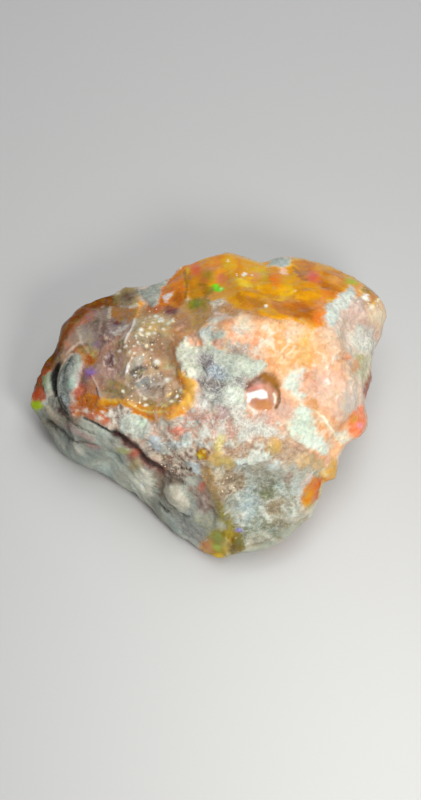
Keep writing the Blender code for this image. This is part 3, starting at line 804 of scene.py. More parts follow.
lay(line([(139, 378), (144, 392), (156, 401)], 0.8, soft=0.9), srgb(232, 218, 204))
lay(line([(156, 412), (163, 402), (166, 392)], 0.8, soft=0.9), srgb(238, 214, 180))
lay(line([(129, 330), (119, 340), (108, 345), (98, 350)], 0.7, soft=0.9), srgb(226, 204, 190))
lay(line([(96, 306), (101, 318), (98, 332)], 0.7, soft=0.9), srgb(212, 186, 172))
lay(spot(177, 397, 7.0, 5.6, 20, soft=0.9, fray=1.0), srgb(184, 146, 92), painted_glint_=0.9)
lay(area([(168, 314), (178, 312), (190, 316), (192, 330), (184, 344), (174, 350), (170, 340),
          (174, 328)], soft=4.0, fray=1.2), mix(srgb(222, 160, 96), srgb(204, 156, 108),
                                               0.5 + n_tiny), clear_=0.34, painted_glint_=0.0)
lay(spot(184, 330, 8, 14, 0, soft=0.9, fray=1.2), mix(srgb(220, 164, 116), srgb(206, 150, 112),
                                                     0.5 + n_tiny), clear_=0.35)

# painted light and shade of the right facet: darker and lighter places where its floor dips
tone(spot(142, 336, 8, 16, 15, soft=0.9) * window, 0.84, 0.90, 0.92)
tone(spot(150, 342, 8, 7, 0, soft=0.9) * window, 0.80, 0.88, 0.90)
tone(spot(164, 366, 8, 8, 0, soft=0.9) * window, 1.45, 1.34, 1.16)
tone(spot(171, 384, 7, 8, 0, soft=0.9) * window, 1.28, 1.16, 1.0)
tone(spot(166, 404, 8, 4, 0, soft=0.9) * window, 1.4, 1.4, 1.3)
tone(line([(131, 374), (138, 371), (146, 367)], 2.6, soft=2.0, fray=0.7), 0.62, 0.62, 0.66)
tone(spot(141, 384, 8, 6, 20, soft=0.9) * window, 0.84, 0.88, 0.96)
for path in ([(138, 380), (146, 376), (153, 375)], [(143, 395), (150, 397), (157, 396)],
             [(157, 372), (161, 378), (160, 385)], [(148, 352), (153, 356), (152, 361)],
             [(136, 388), (140, 394), (141, 401)]):
    lay(line(path, 0.7, soft=0.9, fray=0.8), srgb(232, 216, 198), clear_=0.15)
for path in ([(139, 343), (144, 350)], [(150, 344), (155, 341)], [(146, 385), (151, 389)],
             [(152, 366), (157, 368)], [(160, 388), (165, 386)], [(134, 380), (139, 386)]):
    lay(line(path, 0.9, soft=1.0, fray=0.9), srgb(136, 114, 96), clear_=0.3)

# rim of the window along the upper left edge, brown to orange
edge_ul = line([(40, 384), (47, 364), (54, 350), (62, 331), (74, 317), (88, 307), (102, 300),
                (112, 300)], 6.4, soft=3.2)
lay(edge_ul, mix(srgb(176, 92, 22), srgb(146, 88, 14), 0.5 + 1.1 * n_small), rough_=0.2,
    clear_=0.24, rind_=0.0, curl_=0.0, grit_=0.0, painted_glint_=0.0)
lay(line([(58, 346), (64, 332), (72, 322)], 2.4, soft=2.0), srgb(188, 98, 40))
lay(line([(50, 358), (56, 343), (61, 333)], 2.0, soft=1.6), srgb(160, 122, 32))
lay(line([(70, 332), (80, 321), (92, 313)], 2.6, soft=2.2), srgb(216, 146, 116))
lay(line([(66, 342), (69, 354)], 1.4), srgb(220, 150, 112))
lay(area([(64.5, 356), (68, 350), (75, 343), (80, 339), (78, 345), (71, 352), (67, 357)],
         soft=1.6, fray=0.6), srgb(206, 170, 148), clear_=0.15)
lay(line([(66, 354), (72, 348), (79, 342)], 0.9, soft=0.8), srgb(226, 206, 184), lift_=0.04)
lay(line([(74, 352), (80, 347), (86, 343)], 1.8, soft=1.6, fray=0.6), srgb(138, 96, 58),
    clear_=0.25)
lay(area([(112, 302), (120, 303), (134, 304), (140, 306), (137, 316), (130, 322), (118, 320),
          (108, 314)], soft=3.5, fray=1.0), mix(srgb(214, 142, 70), srgb(196, 142, 58),
                                               0.5 + n_tiny), clear_=0.35)
lay(line([(110, 308), (109, 318)], 2.0, soft=1.2, fray=0.8), srgb(206, 200, 186), rough_=0.6,
    clear_=0.0, rind_=0.6, lift_=0.08)
lay(area([(112, 303), (115, 296), (124, 288), (134, 287), (140, 291), (139, 302), (128, 306)],
         soft=1.6), mix(srgb(178, 158, 110), srgb(190, 172, 134), 0.5 + n_tiny), rough_=0.3,
    clear_=0.15, rind_=0.2, lift_=0.2)
lay(spot(129, 298, 7.5, 4.0, 20, soft=0.9, fray=0.8), srgb(130, 96, 74))
lay(line([(121, 306), (130, 306.5), (138, 304)], 0.9, soft=0.8), srgb(226, 214, 200))

# colours deep in the window's left corner
lay(area([(78, 350), (90, 350), (95, 358), (93, 366), (84, 365), (80, 358)], soft=2.4),
    srgb(232, 142, 40), clear_=0.3)
lay(spot(85, 349, 6.5, 3.6, 10, soft=0.9), srgb(190, 146, 76), clear_=0.3)
lay(spot(93.5, 353, 3.0, 4.4, 0, soft=0.9), srgb(220, 176, 88), clear_=0.3)
lay(spot(88.5, 360, 3.4, 4.4, 0, soft=0.8), srgb(224, 104, 12))
lay(spot(87, 379, 7.5, 10, 10, soft=0.8, fray=0.9), mix(srgb(164, 100, 112),
                                                       srgb(196, 132, 112), 0.4 + n_tiny),
    clear_=0.3)
lay(spot(91, 371.5, 5.2, 3.4, 10, soft=0.9, fray=0.9), srgb(158, 120, 196), clear_=0.2)
lay(spot(88, 376.5, 2.4, 2.6, -25, soft=0.8), srgb(132, 80, 150))
lay(spot(85, 381, 3.6, 5.0, -25, soft=0.9), srgb(146, 80, 84))
lay(spot(92, 388, 9, 7, 0, soft=0.8, fray=0.9), srgb(206, 138, 96), clear_=0.3)
lay(line([(92, 376), (96, 383), (99, 391), (102, 398), (103, 404)], 0.9, soft=0.9),
    srgb(232, 200, 182), lift_=0.05)
lay(line([(96, 388), (99, 396), (100, 404)], 0.9, soft=0.9), srgb(140, 84, 62))
lay(area([(73, 390), (80, 382), (89, 385), (88, 395), (76, 399)], soft=3.0, fray=1.0),
    mix(srgb(222, 112, 76), srgb(190, 92, 78), 0.5 + n_tiny), clear_=0.2)
lay(area([(77, 396), (88, 392), (101, 396), (104, 404), (90, 409), (78, 406)], soft=2.0),
    mix(srgb(234, 118, 18), srgb(240, 142, 34), 0.5 + n_tiny), clear_=0.3)

# thick gold lip round the window's lower and right side
lip_path = [(127, 404), (138, 410), (151, 414), (166, 415), (179, 410), (188, 400), (190, 386),
            (185, 374)]
lip_thin = [(99, 403.5), (108, 401.5), (118, 401.5), (127, 405)]
lip_worn = [(187, 378), (181, 367), (175, 357), (174, 348)]
lay(line(lip_worn, 5.4, soft=4.0, fray=0.9), mix(srgb(222, 160, 96), srgb(208, 146, 92),
                                                0.5 + 1.2 * n_tiny), rough_=0.14, clear_=0.2,
    rind_=0.0, painted_glint_=0.0, lift_=0.10)
lip = any_of(line(lip_path[1:], 6.4, soft=2.8, fray=0.6),
             line([(125, 404), (131, 406.5), (138, 410)], 5.2, soft=3.0, fray=0.6),
             line(lip_thin, 4.0, soft=3.6, fray=1.0))
lay(lip, mix(srgb(246, 176, 66), srgb(236, 152, 48), 0.5 + 1.2 * n_small), rough_=0.12,
    clear_=0.22, rind_=0.0, lift_=0.22, curl_=0.0, grit_=0.0)
lay(line([(104, 402.5), (113, 401), (122, 403), (133, 411)], 2.0, soft=1.6),
    srgb(240, 164, 34))
# painted highlight: a thin gold-yellow line along the lip's upper edge
lay(line([(104, 399), (114, 398.5), (121, 400)], 1.0, soft=1.2, fray=0.8), srgb(244, 196, 92))
lay(line([(108, 405), (118, 405), (126, 408.5)], 1.6, soft=1.5), srgb(214, 126, 20))
lay(line([(134, 412), (152, 417), (168, 417), (182, 411)], 2.6, soft=2.0),
    mix(srgb(250, 186, 78), srgb(246, 160, 60), 0.5 + n_tiny))
lay(line([(190, 402), (193, 386), (188, 375)], 3.4, soft=2.4), srgb(252, 186, 88),
    clear_=0.08)
lay(line([(183, 399), (184, 388), (179, 378)], 1.8, soft=1.8, fray=0.8), srgb(226, 146, 56))
lay(line([(192, 405), (196, 395), (196.5, 385)], 1.2, soft=1.2), srgb(248, 206, 160))
lay(line([(160, 399), (157.5, 408), (157, 419)], 1.1, soft=1.0), srgb(250, 206, 176))
lay(line([(128, 402), (140, 409.5), (153, 413), (168, 412.5)], 0.8, soft=0.8),
    srgb(255, 224, 140), rough_=0.05)
lay(line([(130, 407), (142, 414), (154, 417.5)], 1.6, soft=1.5), srgb(226, 134, 40))
lay(line([(151, 409), (166, 409), (176, 404), (183, 395), (183, 385)], 1.6, soft=1.4),
    srgb(226, 168, 80), rough_=0.06)

# ridge between the two facets, raised, with a painted highlight along it, white below and orange at
# its top
ridge = any_of(line([(135, 318), (130, 330.5), (124.5, 343)], 0.8, soft=0.8, fray=0.15),
               line([(133, 358), (130, 363)], 0.6, soft=0.8, fray=0.4),
               line([(129, 364), (127.5, 368), (127.2, 373)], 1.1, soft=0.8, fray=0.4))
lay(ridge, mix(WHITE, srgb(250, 224, 200), 0.1 + n_tiny), rough_=0.04, clear_=0.0, lift_=0.14)
lay(line([(140.5, 303), (138, 310), (135.5, 317)], 0.9, soft=0.9, fray=0.1),
    srgb(244, 172, 74), rough_=0.06, clear_=0.0, lift_=0.08)
lay(any_of(line([(134, 321), (130, 330), (125, 342)], 0.9, soft=0.8, fray=0.1),
           line([(128.3, 366), (127.2, 372)], 1.4, soft=0.8, fray=0.2)), srgb(255, 250, 244),
    clear_=0.0)
lay(spot(141, 302.5, 3.2, 2.6, 0, soft=0.6), srgb(250, 170, 50), lift_=0.05)

# ---- left tip
lay(area([(30, 402), (33, 392), (38, 379), (44, 368), (50, 370), (46, 384), (46, 398),
          (40, 404)], soft=1.8), mix(srgb(214, 98, 66), srgb(190, 112, 90), 0.5 + n_tiny),
    rough_=0.25, clear_=0.2, rind_=0.1)
lay(spot(37, 393, 4.4, 5.0, 0, soft=0.6), srgb(230, 80, 36), rough_=0.15, clear_=0.2)
lay(spot(35, 406, 6.4, 5.4, 0, soft=0.4), srgb(176, 200, 36), rough_=0.15, clear_=0.2,
    rind_=0.0)
lay(spot(44.5, 405, 2.6, 2.6, 0), CHALK, clear_=0.0)
lay(area([(42, 376), (52, 370), (53, 380), (51, 394), (46, 392), (42, 384)], soft=1.2),
    mix(srgb(160, 170, 154), srgb(176, 178, 160), 0.4 + n_tiny), rough_=0.7, clear_=0.0,
    rind_=0.5, lift_=0.06)

# ---- grey slab standing on the left, with dark crevices beside it
slab_path = [(74, 355), (78, 353.5), (82, 356), (81, 363), (79, 370), (77, 378), (75, 385),
             (72, 390), (70, 395), (70, 401), (73, 407), (76, 413), (73, 418), (68, 414),
             (63, 408), (60, 401), (58, 394), (57, 387), (59, 379), (62, 371), (66, 363),
             (70, 358)]
lay(area([(47, 398), (52, 392), (60, 398), (66, 410), (74, 418), (70, 424), (58, 420),
          (48, 410)], soft=2.4, fray=0.4), mix(srgb(128, 130, 120), srgb(150, 150, 136),
                                              0.5 + n_tiny), rough_=0.75, clear_=0.0,
    rind_=0.6)
lay(line([(47, 407), (52, 415), (58, 421)], 1.8, soft=1.6, fray=0.4), srgb(196, 184, 152))
slab = area(slab_path, soft=1.3, fray=0.25)
lay(slab, mix(srgb(162, 170, 162), srgb(140, 146, 140), 0.5 + 1.1 * n_tiny), rough_=0.75,
    clear_=0.0, rind_=0.6)
lay(area(slab_path, soft=4.5, fray=0.0), lift_=0.42)
# painted highlight along the slab's right edge
lay(line([(79, 358), (78, 367), (76, 376), (73, 385)], 1.7, soft=1.6, fray=0.3),
    srgb(196, 202, 190))
lay(spot(71.5, 384, 2.6, 5.0, -20, soft=0.9, fray=0.4), srgb(184, 214, 196))
lay(spot(77, 357, 4.4, 2.4, 0, soft=0.8, fray=0.4), srgb(190, 192, 178))
lay(line([(72.5, 358), (69, 365), (66, 373)], 1.2, soft=1.1, fray=0.2), srgb(78, 88, 80),
    lift_=-0.05)
lay(line([(65, 378), (63, 388), (64, 396)], 0.9, soft=1.0, fray=0.3), srgb(112, 118, 112))
lay(area([(64, 394), (70, 398), (72, 406), (74, 413), (68, 410)], soft=1.8, fray=0.3),
    srgb(146, 160, 164))
cleft = area([(60, 361), (57, 369), (55.5, 379), (56, 389), (58, 397), (55, 397), (50.5, 389),
              (49, 379), (51, 371), (55, 364)], soft=1.1, fray=0.15)
cleft_low = any_of(line([(56.5, 391), (59, 399), (62.5, 407), (68, 414)], 1.2, soft=1.0,
                        fray=0.2),
                   line([(61, 394), (63.5, 402), (68, 409)], 0.8, soft=0.9, fray=0.2))
lay(area([(56, 407), (62, 407), (68, 415), (64, 417), (58, 413)], soft=1.8, fray=0.3),
    srgb(98, 78, 72))
# painted shade: dark grey and near-black in the clefts beside the slab, which are sunk as well
lay(cleft_low, srgb(70, 66, 60), rough_=0.8, clear_=0.0, lift_=-0.10)
lay(cleft, srgb(24, 24, 18), rough_=0.8, clear_=0.0, rind_=0.2, curl_=0.0, grit_=0.0)
lay(area([(60, 363), (57, 373), (56, 384), (57, 394), (54, 394), (50, 387), (49, 378),
          (53, 368)], soft=3.0, fray=0.0), lift_=-0.5)

# ---- pinkish bubbly strip below the window's left facet
bubbly = area([(72, 404), (82, 405), (96, 408), (108, 408), (112, 420), (104, 424), (90, 420),
               (78, 416), (72, 412)], soft=2.2, fray=0.9)
lay(bubbly, mix(srgb(222, 128, 94), srgb(214, 124, 56), 0.5 + n_tiny), rough_=0.35,
    clear_=0.12, rind_=0.3)
lay(area([(88, 404), (100, 405), (110, 409), (108, 415), (98, 413), (88, 411)], soft=2.0,
         fray=0.9), srgb(222, 128, 34), rough_=0.15, clear_=0.22, rind_=0.0)
for cx, cy, r in [(85.5, 411, 3.2), (98.5, 418, 3.0), (79, 409, 1.6), (93, 413, 1.5),
                  (77, 414, 1.5), (103, 412, 2.0)]:
    lay(spot(cx, cy, r, r * 0.9, soft=0.6, fray=0.7), srgb(250, 228, 212), rough_=0.35,
        lift_=0.08)

# ---- white crust below the window's lip
dotted = area([(105, 414), (112, 406), (120, 403), (130, 407), (136, 414), (128, 424),
               (112, 424)], soft=1.6, fray=1.0)
lay(dotted, mix(srgb(236, 226, 210), srgb(146, 112, 96), rise(np.abs(n_tiny), 0.25, 0.6) * 0.8),
    rough_=0.75, clear_=0.0, rind_=0.9, lift_=0.1)
mint_plate = area([(116, 422), (124, 416), (134, 414), (146, 418), (152, 430), (146, 440),
                   (134, 438), (122, 434)], soft=2.0, fray=1.1)
lay(mint_plate, mix(srgb(212, 220, 204), srgb(190, 194, 182), 0.4 + 1.2 * n_tiny), rough_=0.85,
    clear_=0.0, rind_=1.0, lift_=0.14)
lay(spot(141, 424, 3.6, 3.6, soft=0.8), srgb(220, 244, 214), rough_=0.8)

# ---- ground between the window and the wall: granular, brown flecks in grey-cream
gritty = area([(146, 436), (164, 440), (186, 448), (200, 450), (208, 466), (204, 478),
               (188, 478), (170, 474), (158, 462), (148, 450)], soft=3.0, fray=1.6)
lay(gritty, mix(srgb(146, 114, 94), srgb(208, 196, 178), 0.5 + 1.5 * n_tiny), rough_=0.6,
    clear_=0.0, rind_=0.8)
for path in ([(149, 437), (157, 438), (165, 444), (168, 454), (160, 456), (152, 448)],
             [(184, 462), (196, 464), (208, 470), (206, 476), (192, 472)],
             [(164, 442), (176, 440), (186, 446), (178, 452), (168, 450)]):
    lay(area(path, soft=1.8, fray=1.1), mix(srgb(196, 204, 200), srgb(182, 192, 198),
                                            0.5 + n_tiny), rough_=0.7, clear_=0.0,
        rind_=0.8, lift_=0.1)
lay(spot(185.5, 441, 5.4, 8.6, -10, soft=0.4, fray=0.7), mix(srgb(218, 224, 212),
                                                           srgb(196, 208, 208), 0.3 + n_tiny),
    rough_=0.6, rind_=0.8, lift_=0.16)
lay(spot(167, 425, 10, 6, 10, soft=0.8, fray=1.4), mix(PALE, srgb(216, 190, 172), 0.4 + n_tiny),
    rough_=0.8, rind_=0.9, lift_=0.06)

# ---- crevice along the top of the lower left wall, with painted shade in it and in the valley at its end, and the dark lines on the wall
crevice_thin = line([(84, 418), (91, 421), (99, 425.5), (112, 433)], 1.1, soft=0.9, fray=0.2)
crevice_path = [(113, 432.5), (123, 439), (132, 447.5), (142, 458), (151, 465), (160, 471)]
crevice_end = area([(152, 464), (162, 464), (176, 472), (186, 482), (176, 487), (166, 486),
                    (161, 494), (156, 488), (152, 476)], soft=3.0, fray=0.8)
# painted shade: brown-grey down the valley between the crevice's end and the lumps
lay(crevice_end, mix(srgb(112, 100, 86), srgb(146, 124, 106), 0.4 + 1.2 * n_tiny), rough_=0.7,
    clear_=0.0, grit_=0.3)
lay(line([(157, 477), (160, 485), (162, 493)], 4.4, soft=4.0, fray=0.9), srgb(140, 126, 108))
for path in ([(164, 466), (174, 472), (186, 476)], [(166, 472), (176, 478), (184, 484)],
             [(172, 466), (182, 469), (192, 470)]):
    lay(line(path, 0.7, soft=0.9, fray=0.8), srgb(92, 80, 70), lift_=-0.05)
# painted shade: near-black in the thin crevice
lay(crevice_thin, srgb(50, 44, 38), rough_=0.7, clear_=0.0, lift_=-0.25)
lay(line(crevice_path[1:], 4.8, soft=2.4, fray=0.8), mix(srgb(150, 100, 82), srgb(116, 72, 60),
                                                         0.5 + n_tiny), rough_=0.5, rind_=0.3)
# painted shade: the dark maroon core of the wide crevice
lay(line(crevice_path, 3.1, soft=1.8, fray=0.5), mix(srgb(78, 46, 40), srgb(50, 32, 28),
                                                     0.5 + n_tiny), rough_=0.5, clear_=0.0,
    rind_=0.2)
lay(line(crevice_path, 3.4, soft=3.0, fray=0.0), lift_=-0.42)
wall_lines = any_of(line([(48, 421), (62, 430), (72, 440)], 1.6, soft=1.4, fray=0.5),
                    line([(73, 441), (82, 444), (96, 446)], 1.2, soft=1.2, fray=0.5),
                    line([(66, 418), (78, 426), (92, 434)], 0.8, soft=1.0, fray=0.6))
lay(wall_lines * 0.8, srgb(88, 78, 68), rough_=0.7, lift_=-0.2)
for path in ([(54, 430), (62, 436), (68, 446), (62, 448), (55, 440)],
             [(73, 443), (80, 448), (82, 455), (76, 452)],
             [(48, 408), (56, 414), (62, 424), (56, 422), (50, 416)],
             [(106, 442), (116, 444), (124, 452), (114, 450)]):
    lay(area(path, soft=2.4), srgb(206, 204, 190), rough_=0.6, lift_=0.08)
lay(line([(66, 426), (80, 434), (92, 440)], 2.4, soft=2.2), srgb(180, 160, 152))
lay(spot(94, 448, 7, 2.6, -10, soft=0.9), srgb(164, 136, 128))
lay(line([(80, 462), (104, 472), (122, 486), (140, 502)], 5.0, soft=4.5),
    mix(srgb(160, 168, 160), srgb(180, 184, 174), 0.5 + n_streak))
lay(area([(112, 462), (132, 464), (150, 480), (150, 500), (136, 504), (120, 484)], soft=5.0,
         fray=1.0), mix(srgb(202, 204, 188), srgb(184, 186, 172), 0.5 + n_streak))
lay(spot(122, 452, 6.4, 3.4, -15, soft=0.7), srgb(188, 188, 124), rough_=0.4)
lay(spot(131.5, 456, 4.6, 5.6, -30, soft=0.8), srgb(176, 92, 66), rough_=0.35, clear_=0.1)
lay(spot(134, 467, 5.6, 6.0, 0, soft=0.8), srgb(184, 166, 114), rough_=0.4)
lump1 = area([(134, 472), (141, 468), (147, 473), (151, 483), (152, 493), (148, 497),
              (142, 490), (135, 481)], soft=3.4, fray=0.5)
lay(lump1, mix(srgb(216, 213, 194), srgb(238, 236, 216), 0.4 + n_tiny), rough_=0.45, clear_=0.0,
    rind_=0.4, curl_=0.0, grit_=0.1)
lay(area([(134, 472), (142, 468), (148, 473), (151, 483), (152, 493), (148, 496), (142, 490),
          (135, 481)], soft=6.0, fray=0.1), lift_=0.26)
lump2 = area([(164, 490), (171, 485), (180, 487), (187, 495), (189, 507), (182, 510),
              (170, 502)], soft=2.4)
lay(lump2, mix(srgb(192, 188, 168), srgb(210, 206, 190), 0.3 + n_tiny), rough_=0.6, clear_=0.0,
    rind_=0.4, curl_=0.0, grit_=0.1)
lay(area([(164, 490), (171, 485), (180, 487), (187, 495), (189, 507), (182, 510), (170, 502)],
         soft=5.0, fray=0.1), lift_=0.32)
# painted shade: dark lines under the lower lump, also sunk
lay(line([(158, 503), (163, 508), (168, 512)], 1.2, soft=1.2), srgb(80, 76, 70), lift_=-0.2)
lay(line([(172, 506), (181, 514), (190, 516)], 1.0, soft=1.2), srgb(116, 112, 104), lift_=-0.15)
lay(area([(188, 486), (200, 482), (212, 490), (222, 508), (214, 518), (198, 510)], soft=4.0,
         fray=1.3), mix(srgb(156, 130, 120), srgb(186, 170, 158), 0.4 + 1.1 * n_tiny),
    rough_=0.6)
lay(spot(204.5, 486, 5.4, 4.0, 20, soft=0.9, fray=1.0), srgb(198, 110, 84), rough_=0.35)
lay(area([(192, 514), (210, 512), (222, 520), (226, 534), (212, 536), (200, 528)], soft=3.5,
         fray=1.2), mix(srgb(178, 174, 146), srgb(162, 164, 150), 0.5 + n_tiny), rough_=0.6)
lay(area([(174, 520), (190, 520), (204, 532), (204, 544), (190, 540)], soft=3.0),
    mix(srgb(164, 164, 156), srgb(188, 184, 170), 0.5 + n_tiny), rough_=0.6)

# ---- shoulder and notch, upper left of the band
shoulder = area([(158, 306), (162, 290), (170, 278), (182, 265), (198, 257), (204, 264),
                 (196, 282), (184, 300), (178, 310), (168, 312)], soft=1.6)
lay(shoulder, mix(srgb(250, 150, 40), srgb(226, 126, 20), 0.5 + 1.4 * n_small), rough_=0.24,
    clear_=0.22, rind_=0.0, curl_=0.0, grit_=0.0)
lay(area([(176, 292), (184, 290), (185, 304), (178, 306), (172, 302)], soft=2.6, fray=1.0),
    srgb(206, 112, 18))
lay(spot(156, 309, 10, 4.0, -8, soft=0.8), srgb(226, 122, 50), clear_=0.3)
lay(spot(171, 310, 7.0, 3.8, -4, soft=0.8, fray=0.8), mix(srgb(150, 84, 74), srgb(126, 76, 84),
                                                         0.5 + n_tiny), clear_=0.3)
lay(area([(176, 310), (182, 302), (194, 300), (210, 300), (214, 312), (206, 324), (192, 330),
          (190, 318)], soft=3.0, fray=1.1), mix(srgb(232, 178, 96), srgb(220, 170, 104),
                                               0.5 + n_tiny), rough_=0.15, clear_=0.32,
    rind_=0.05)
notch = area([(138, 289), (146, 290), (153, 286), (162, 283), (167, 279), (168, 286), (161, 290),
              (160, 298), (156, 307), (151, 308), (146, 301), (140, 296)], soft=1.0, fray=0.4)
lay(notch, mix(srgb(176, 184, 180), srgb(202, 204, 194), 0.4 + n_tiny), rough_=0.85, clear_=0.0,
    rind_=0.9, lift_=0.2)
lay(area([(163, 297), (167, 294), (172, 292), (172, 298), (168, 303), (164, 302)], soft=1.1),
    srgb(226, 214, 206), rough_=0.7, clear_=0.0, rind_=0.8, lift_=0.1)

# ---- honey band along the top
band = area([(184, 270), (200, 257), (226, 252), (244, 257), (262, 263), (284, 258), (302, 259),
             (322, 264), (346, 271), (360, 280), (366, 290), (358, 292), (350, 288), (338, 297),
             (328, 304), (324, 316), (324, 326), (312, 328), (296, 322), (276, 319), (258, 317),
             (238, 310), (222, 300), (206, 298), (190, 298), (184, 286)], soft=1.5)
band_mix = mix(srgb(252, 182, 18), srgb(246, 164, 10), 0.5 + 1.0 * n_small)
lay(band, band_mix, rough_=0.22, clear_=0.18, rind_=0.0, curl_=0.0, grit_=0.0)
lay(area([(186, 272), (200, 268), (210, 276), (206, 290), (196, 298), (186, 296)], soft=4.0,
         fray=1.0), srgb(226, 150, 24))
lay(area([(202, 262), (214, 256), (226, 254), (228, 264), (216, 274), (204, 274)], soft=4.0,
         fray=1.1), mix(srgb(228, 138, 60), srgb(236, 150, 74), 0.5 + n_tiny), clear_=0.22)
lay(spot(208, 276, 5.5, 4.0, 20, soft=0.9, fray=1.0), srgb(176, 152, 34))
lay(area([(222, 256), (234, 254), (244, 260), (242, 272), (232, 278), (224, 270)], soft=4.0,
         fray=1.1), mix(srgb(252, 172, 28), srgb(250, 154, 24), 0.5 + n_tiny))
lay(spot(229, 266, 4.2, 9, 5, soft=0.9, fray=1.1), srgb(255, 200, 60))
lay(spot(240, 280, 6.5, 3.6, 0, soft=0.8, fray=1.1), srgb(255, 206, 52))
lay(spot(248, 283, 5.5, 3.0, 10, soft=0.8, fray=1.1), srgb(252, 196, 40))
lay(spot(256, 276, 6.5, 3.6, 0, soft=0.9, fray=1.1), srgb(228, 160, 98))
lay(spot(266, 276, 6.0, 6.0, -20, soft=0.9, fray=1.1), srgb(206, 180, 52))
lay(spot(274, 279, 6.5, 7.5, 0, soft=0.9, fray=1.0), srgb(250, 136, 34))
lay(area([(238, 286), (256, 284), (276, 288), (282, 298), (268, 302), (246, 298)], soft=5.0,
         fray=1.1), srgb(250, 176, 6), clear_=0.24)
lay(area([(234, 297), (248, 297), (262, 302), (258, 308), (244, 306)], soft=4.0, fray=1.0),
    srgb(228, 140, 12), clear_=0.24)
lay(spot(291, 291, 7.0, 3.6, 12, soft=0.9, fray=1.2), srgb(255, 190, 40))
lay(spot(284, 297, 3.4, 2.2, 12, soft=0.8, fray=1.0), srgb(255, 196, 50))
lay(spot(302, 288, 6.0, 6.0, 0, soft=0.9, fray=1.2), srgb(236, 158, 22))
lay(area([(272, 301), (292, 299), (312, 302), (320, 314), (316, 324), (300, 320), (280, 312)],
         soft=4.5, fray=1.0), srgb(248, 150, 4), clear_=0.24)
lay(spot(300, 310, 10, 5, -15, soft=0.9, fray=1.0), srgb(232, 128, 4))
# painted highlight: a diagonal yellow-orange streak
lay(line([(294, 313), (303, 321), (313, 328)], 1.6, soft=1.5), srgb(250, 178, 52))
lay(area([(314, 300), (326, 294), (327, 304), (325, 326), (316, 326), (313, 312)], soft=3.4),
    mix(srgb(244, 138, 40), srgb(250, 152, 62), 0.5 + n_tiny), clear_=0.16)
lay(spot(321, 303, 4.0, 5.0, -20, soft=0.9, fray=1.0), srgb(252, 164, 90), clear_=0.1)
lay(spot(318, 317, 3.0, 4.6, 0, soft=0.9, fray=1.0), srgb(248, 134, 44), clear_=0.14)
lay(spot(330, 292, 9, 4.5, -18, soft=0.8), srgb(246, 138, 48), clear_=0.22)
lay(area([(294, 261), (306, 260), (314, 266), (308, 274), (298, 275)], soft=3.5, fray=1.0),
    mix(srgb(214, 132, 80), srgb(200, 128, 92), 0.4 + n_tiny), clear_=0.22)
lay(spot(313, 275, 5.6, 4.6, -10, soft=0.8, fray=0.9), srgb(250, 106, 96), clear_=0.2)
lay(spot(318, 281, 7.0, 4.0, -10, soft=0.9, fray=1.0), srgb(248, 136, 50), clear_=0.25)
lay(area([(322, 269), (340, 272), (348, 281), (340, 289), (326, 286)], soft=4.0, fray=1.0),
    srgb(222, 138, 16), clear_=0.22)
lay(spot(352, 281, 6.4, 3.4, -8, soft=0.7, fray=0.7), srgb(196, 204, 30), clear_=0.2)
lay(spot(360, 289, 5.0, 5.0, -30, soft=0.7), srgb(250, 172, 84), clear_=0.2)
lay(spot(195.5, 269, 4.6, 7.2, 12, soft=0.7, fray=0.8), srgb(250, 104, 58), clear_=0.2)
lay(spot(203, 279, 4.6, 3.4, 0, soft=0.9), srgb(222, 136, 60))
lay(spot(221, 279, 6.4, 4.0, 10, soft=0.8, fray=0.9), srgb(240, 142, 92), clear_=0.25)
lay(line([(184.5, 271), (186.5, 283), (185.5, 297)], 1.2, soft=1.3), srgb(146, 100, 22))
lay(area([(184, 300), (196, 296), (208, 295), (212, 302), (204, 309), (190, 310)], soft=3.0,
         fray=1.1), mix(srgb(168, 146, 38), srgb(190, 156, 52), 0.5 + n_tiny), clear_=0.22)
lay(spot(197, 304, 5.0, 3.0, 10, soft=0.8, fray=0.9), srgb(142, 164, 32))
lay(area([(210, 287), (214, 284.5), (219, 286), (224, 287.5), (222, 290.5), (217, 292.5),
          (212, 291)], soft=1.2, fray=0.6), srgb(104, 230, 34), rough_=0.06, clear_=0.05)
lay(spot(215.5, 288, 2.6, 1.8, 10, soft=0.8, fray=0.3), srgb(150, 246, 54))
lay(spot(221, 288.5, 1.6, 1.2, 35, soft=0.8, fray=0.2), srgb(226, 250, 150))
lay(spot(209, 291, 4.0, 3.0, 0, soft=0.9, fray=0.9), srgb(176, 150, 40))
crest_tan = area([(222, 302), (238, 308), (258, 315), (276, 318), (286, 322), (262, 322),
                  (244, 318), (228, 314), (214, 308)], soft=3.0, fray=1.2)
lay(crest_tan, mix(srgb(206, 146, 88), srgb(224, 170, 110), 0.5 + n_tiny), rough_=0.25,
    clear_=0.2, grit_=0.3)
bump_top = area([(266, 266), (272, 259), (284, 257), (293, 259), (291, 265), (280, 268)],
                soft=1.4, fray=0.5)
lay(bump_top, mix(srgb(168, 180, 174), srgb(184, 194, 186), 0.5 + n_tiny), rough_=0.8,
    clear_=0.0, rind_=0.9, lift_=0.12)
lay(spot(283, 271, 4.2, 3.2, 0, soft=0.7, fray=0.8), srgb(248, 206, 180), rough_=0.3,
    clear_=0.0, lift_=0.06)
lay(spot(217, 303, 7.0, 3.6, 5, soft=0.6, fray=1.1), mix(CREAM, CHALK, 0.5 + n_tiny),
    rough_=0.6, clear_=0.0, rind_=0.7, lift_=0.08)
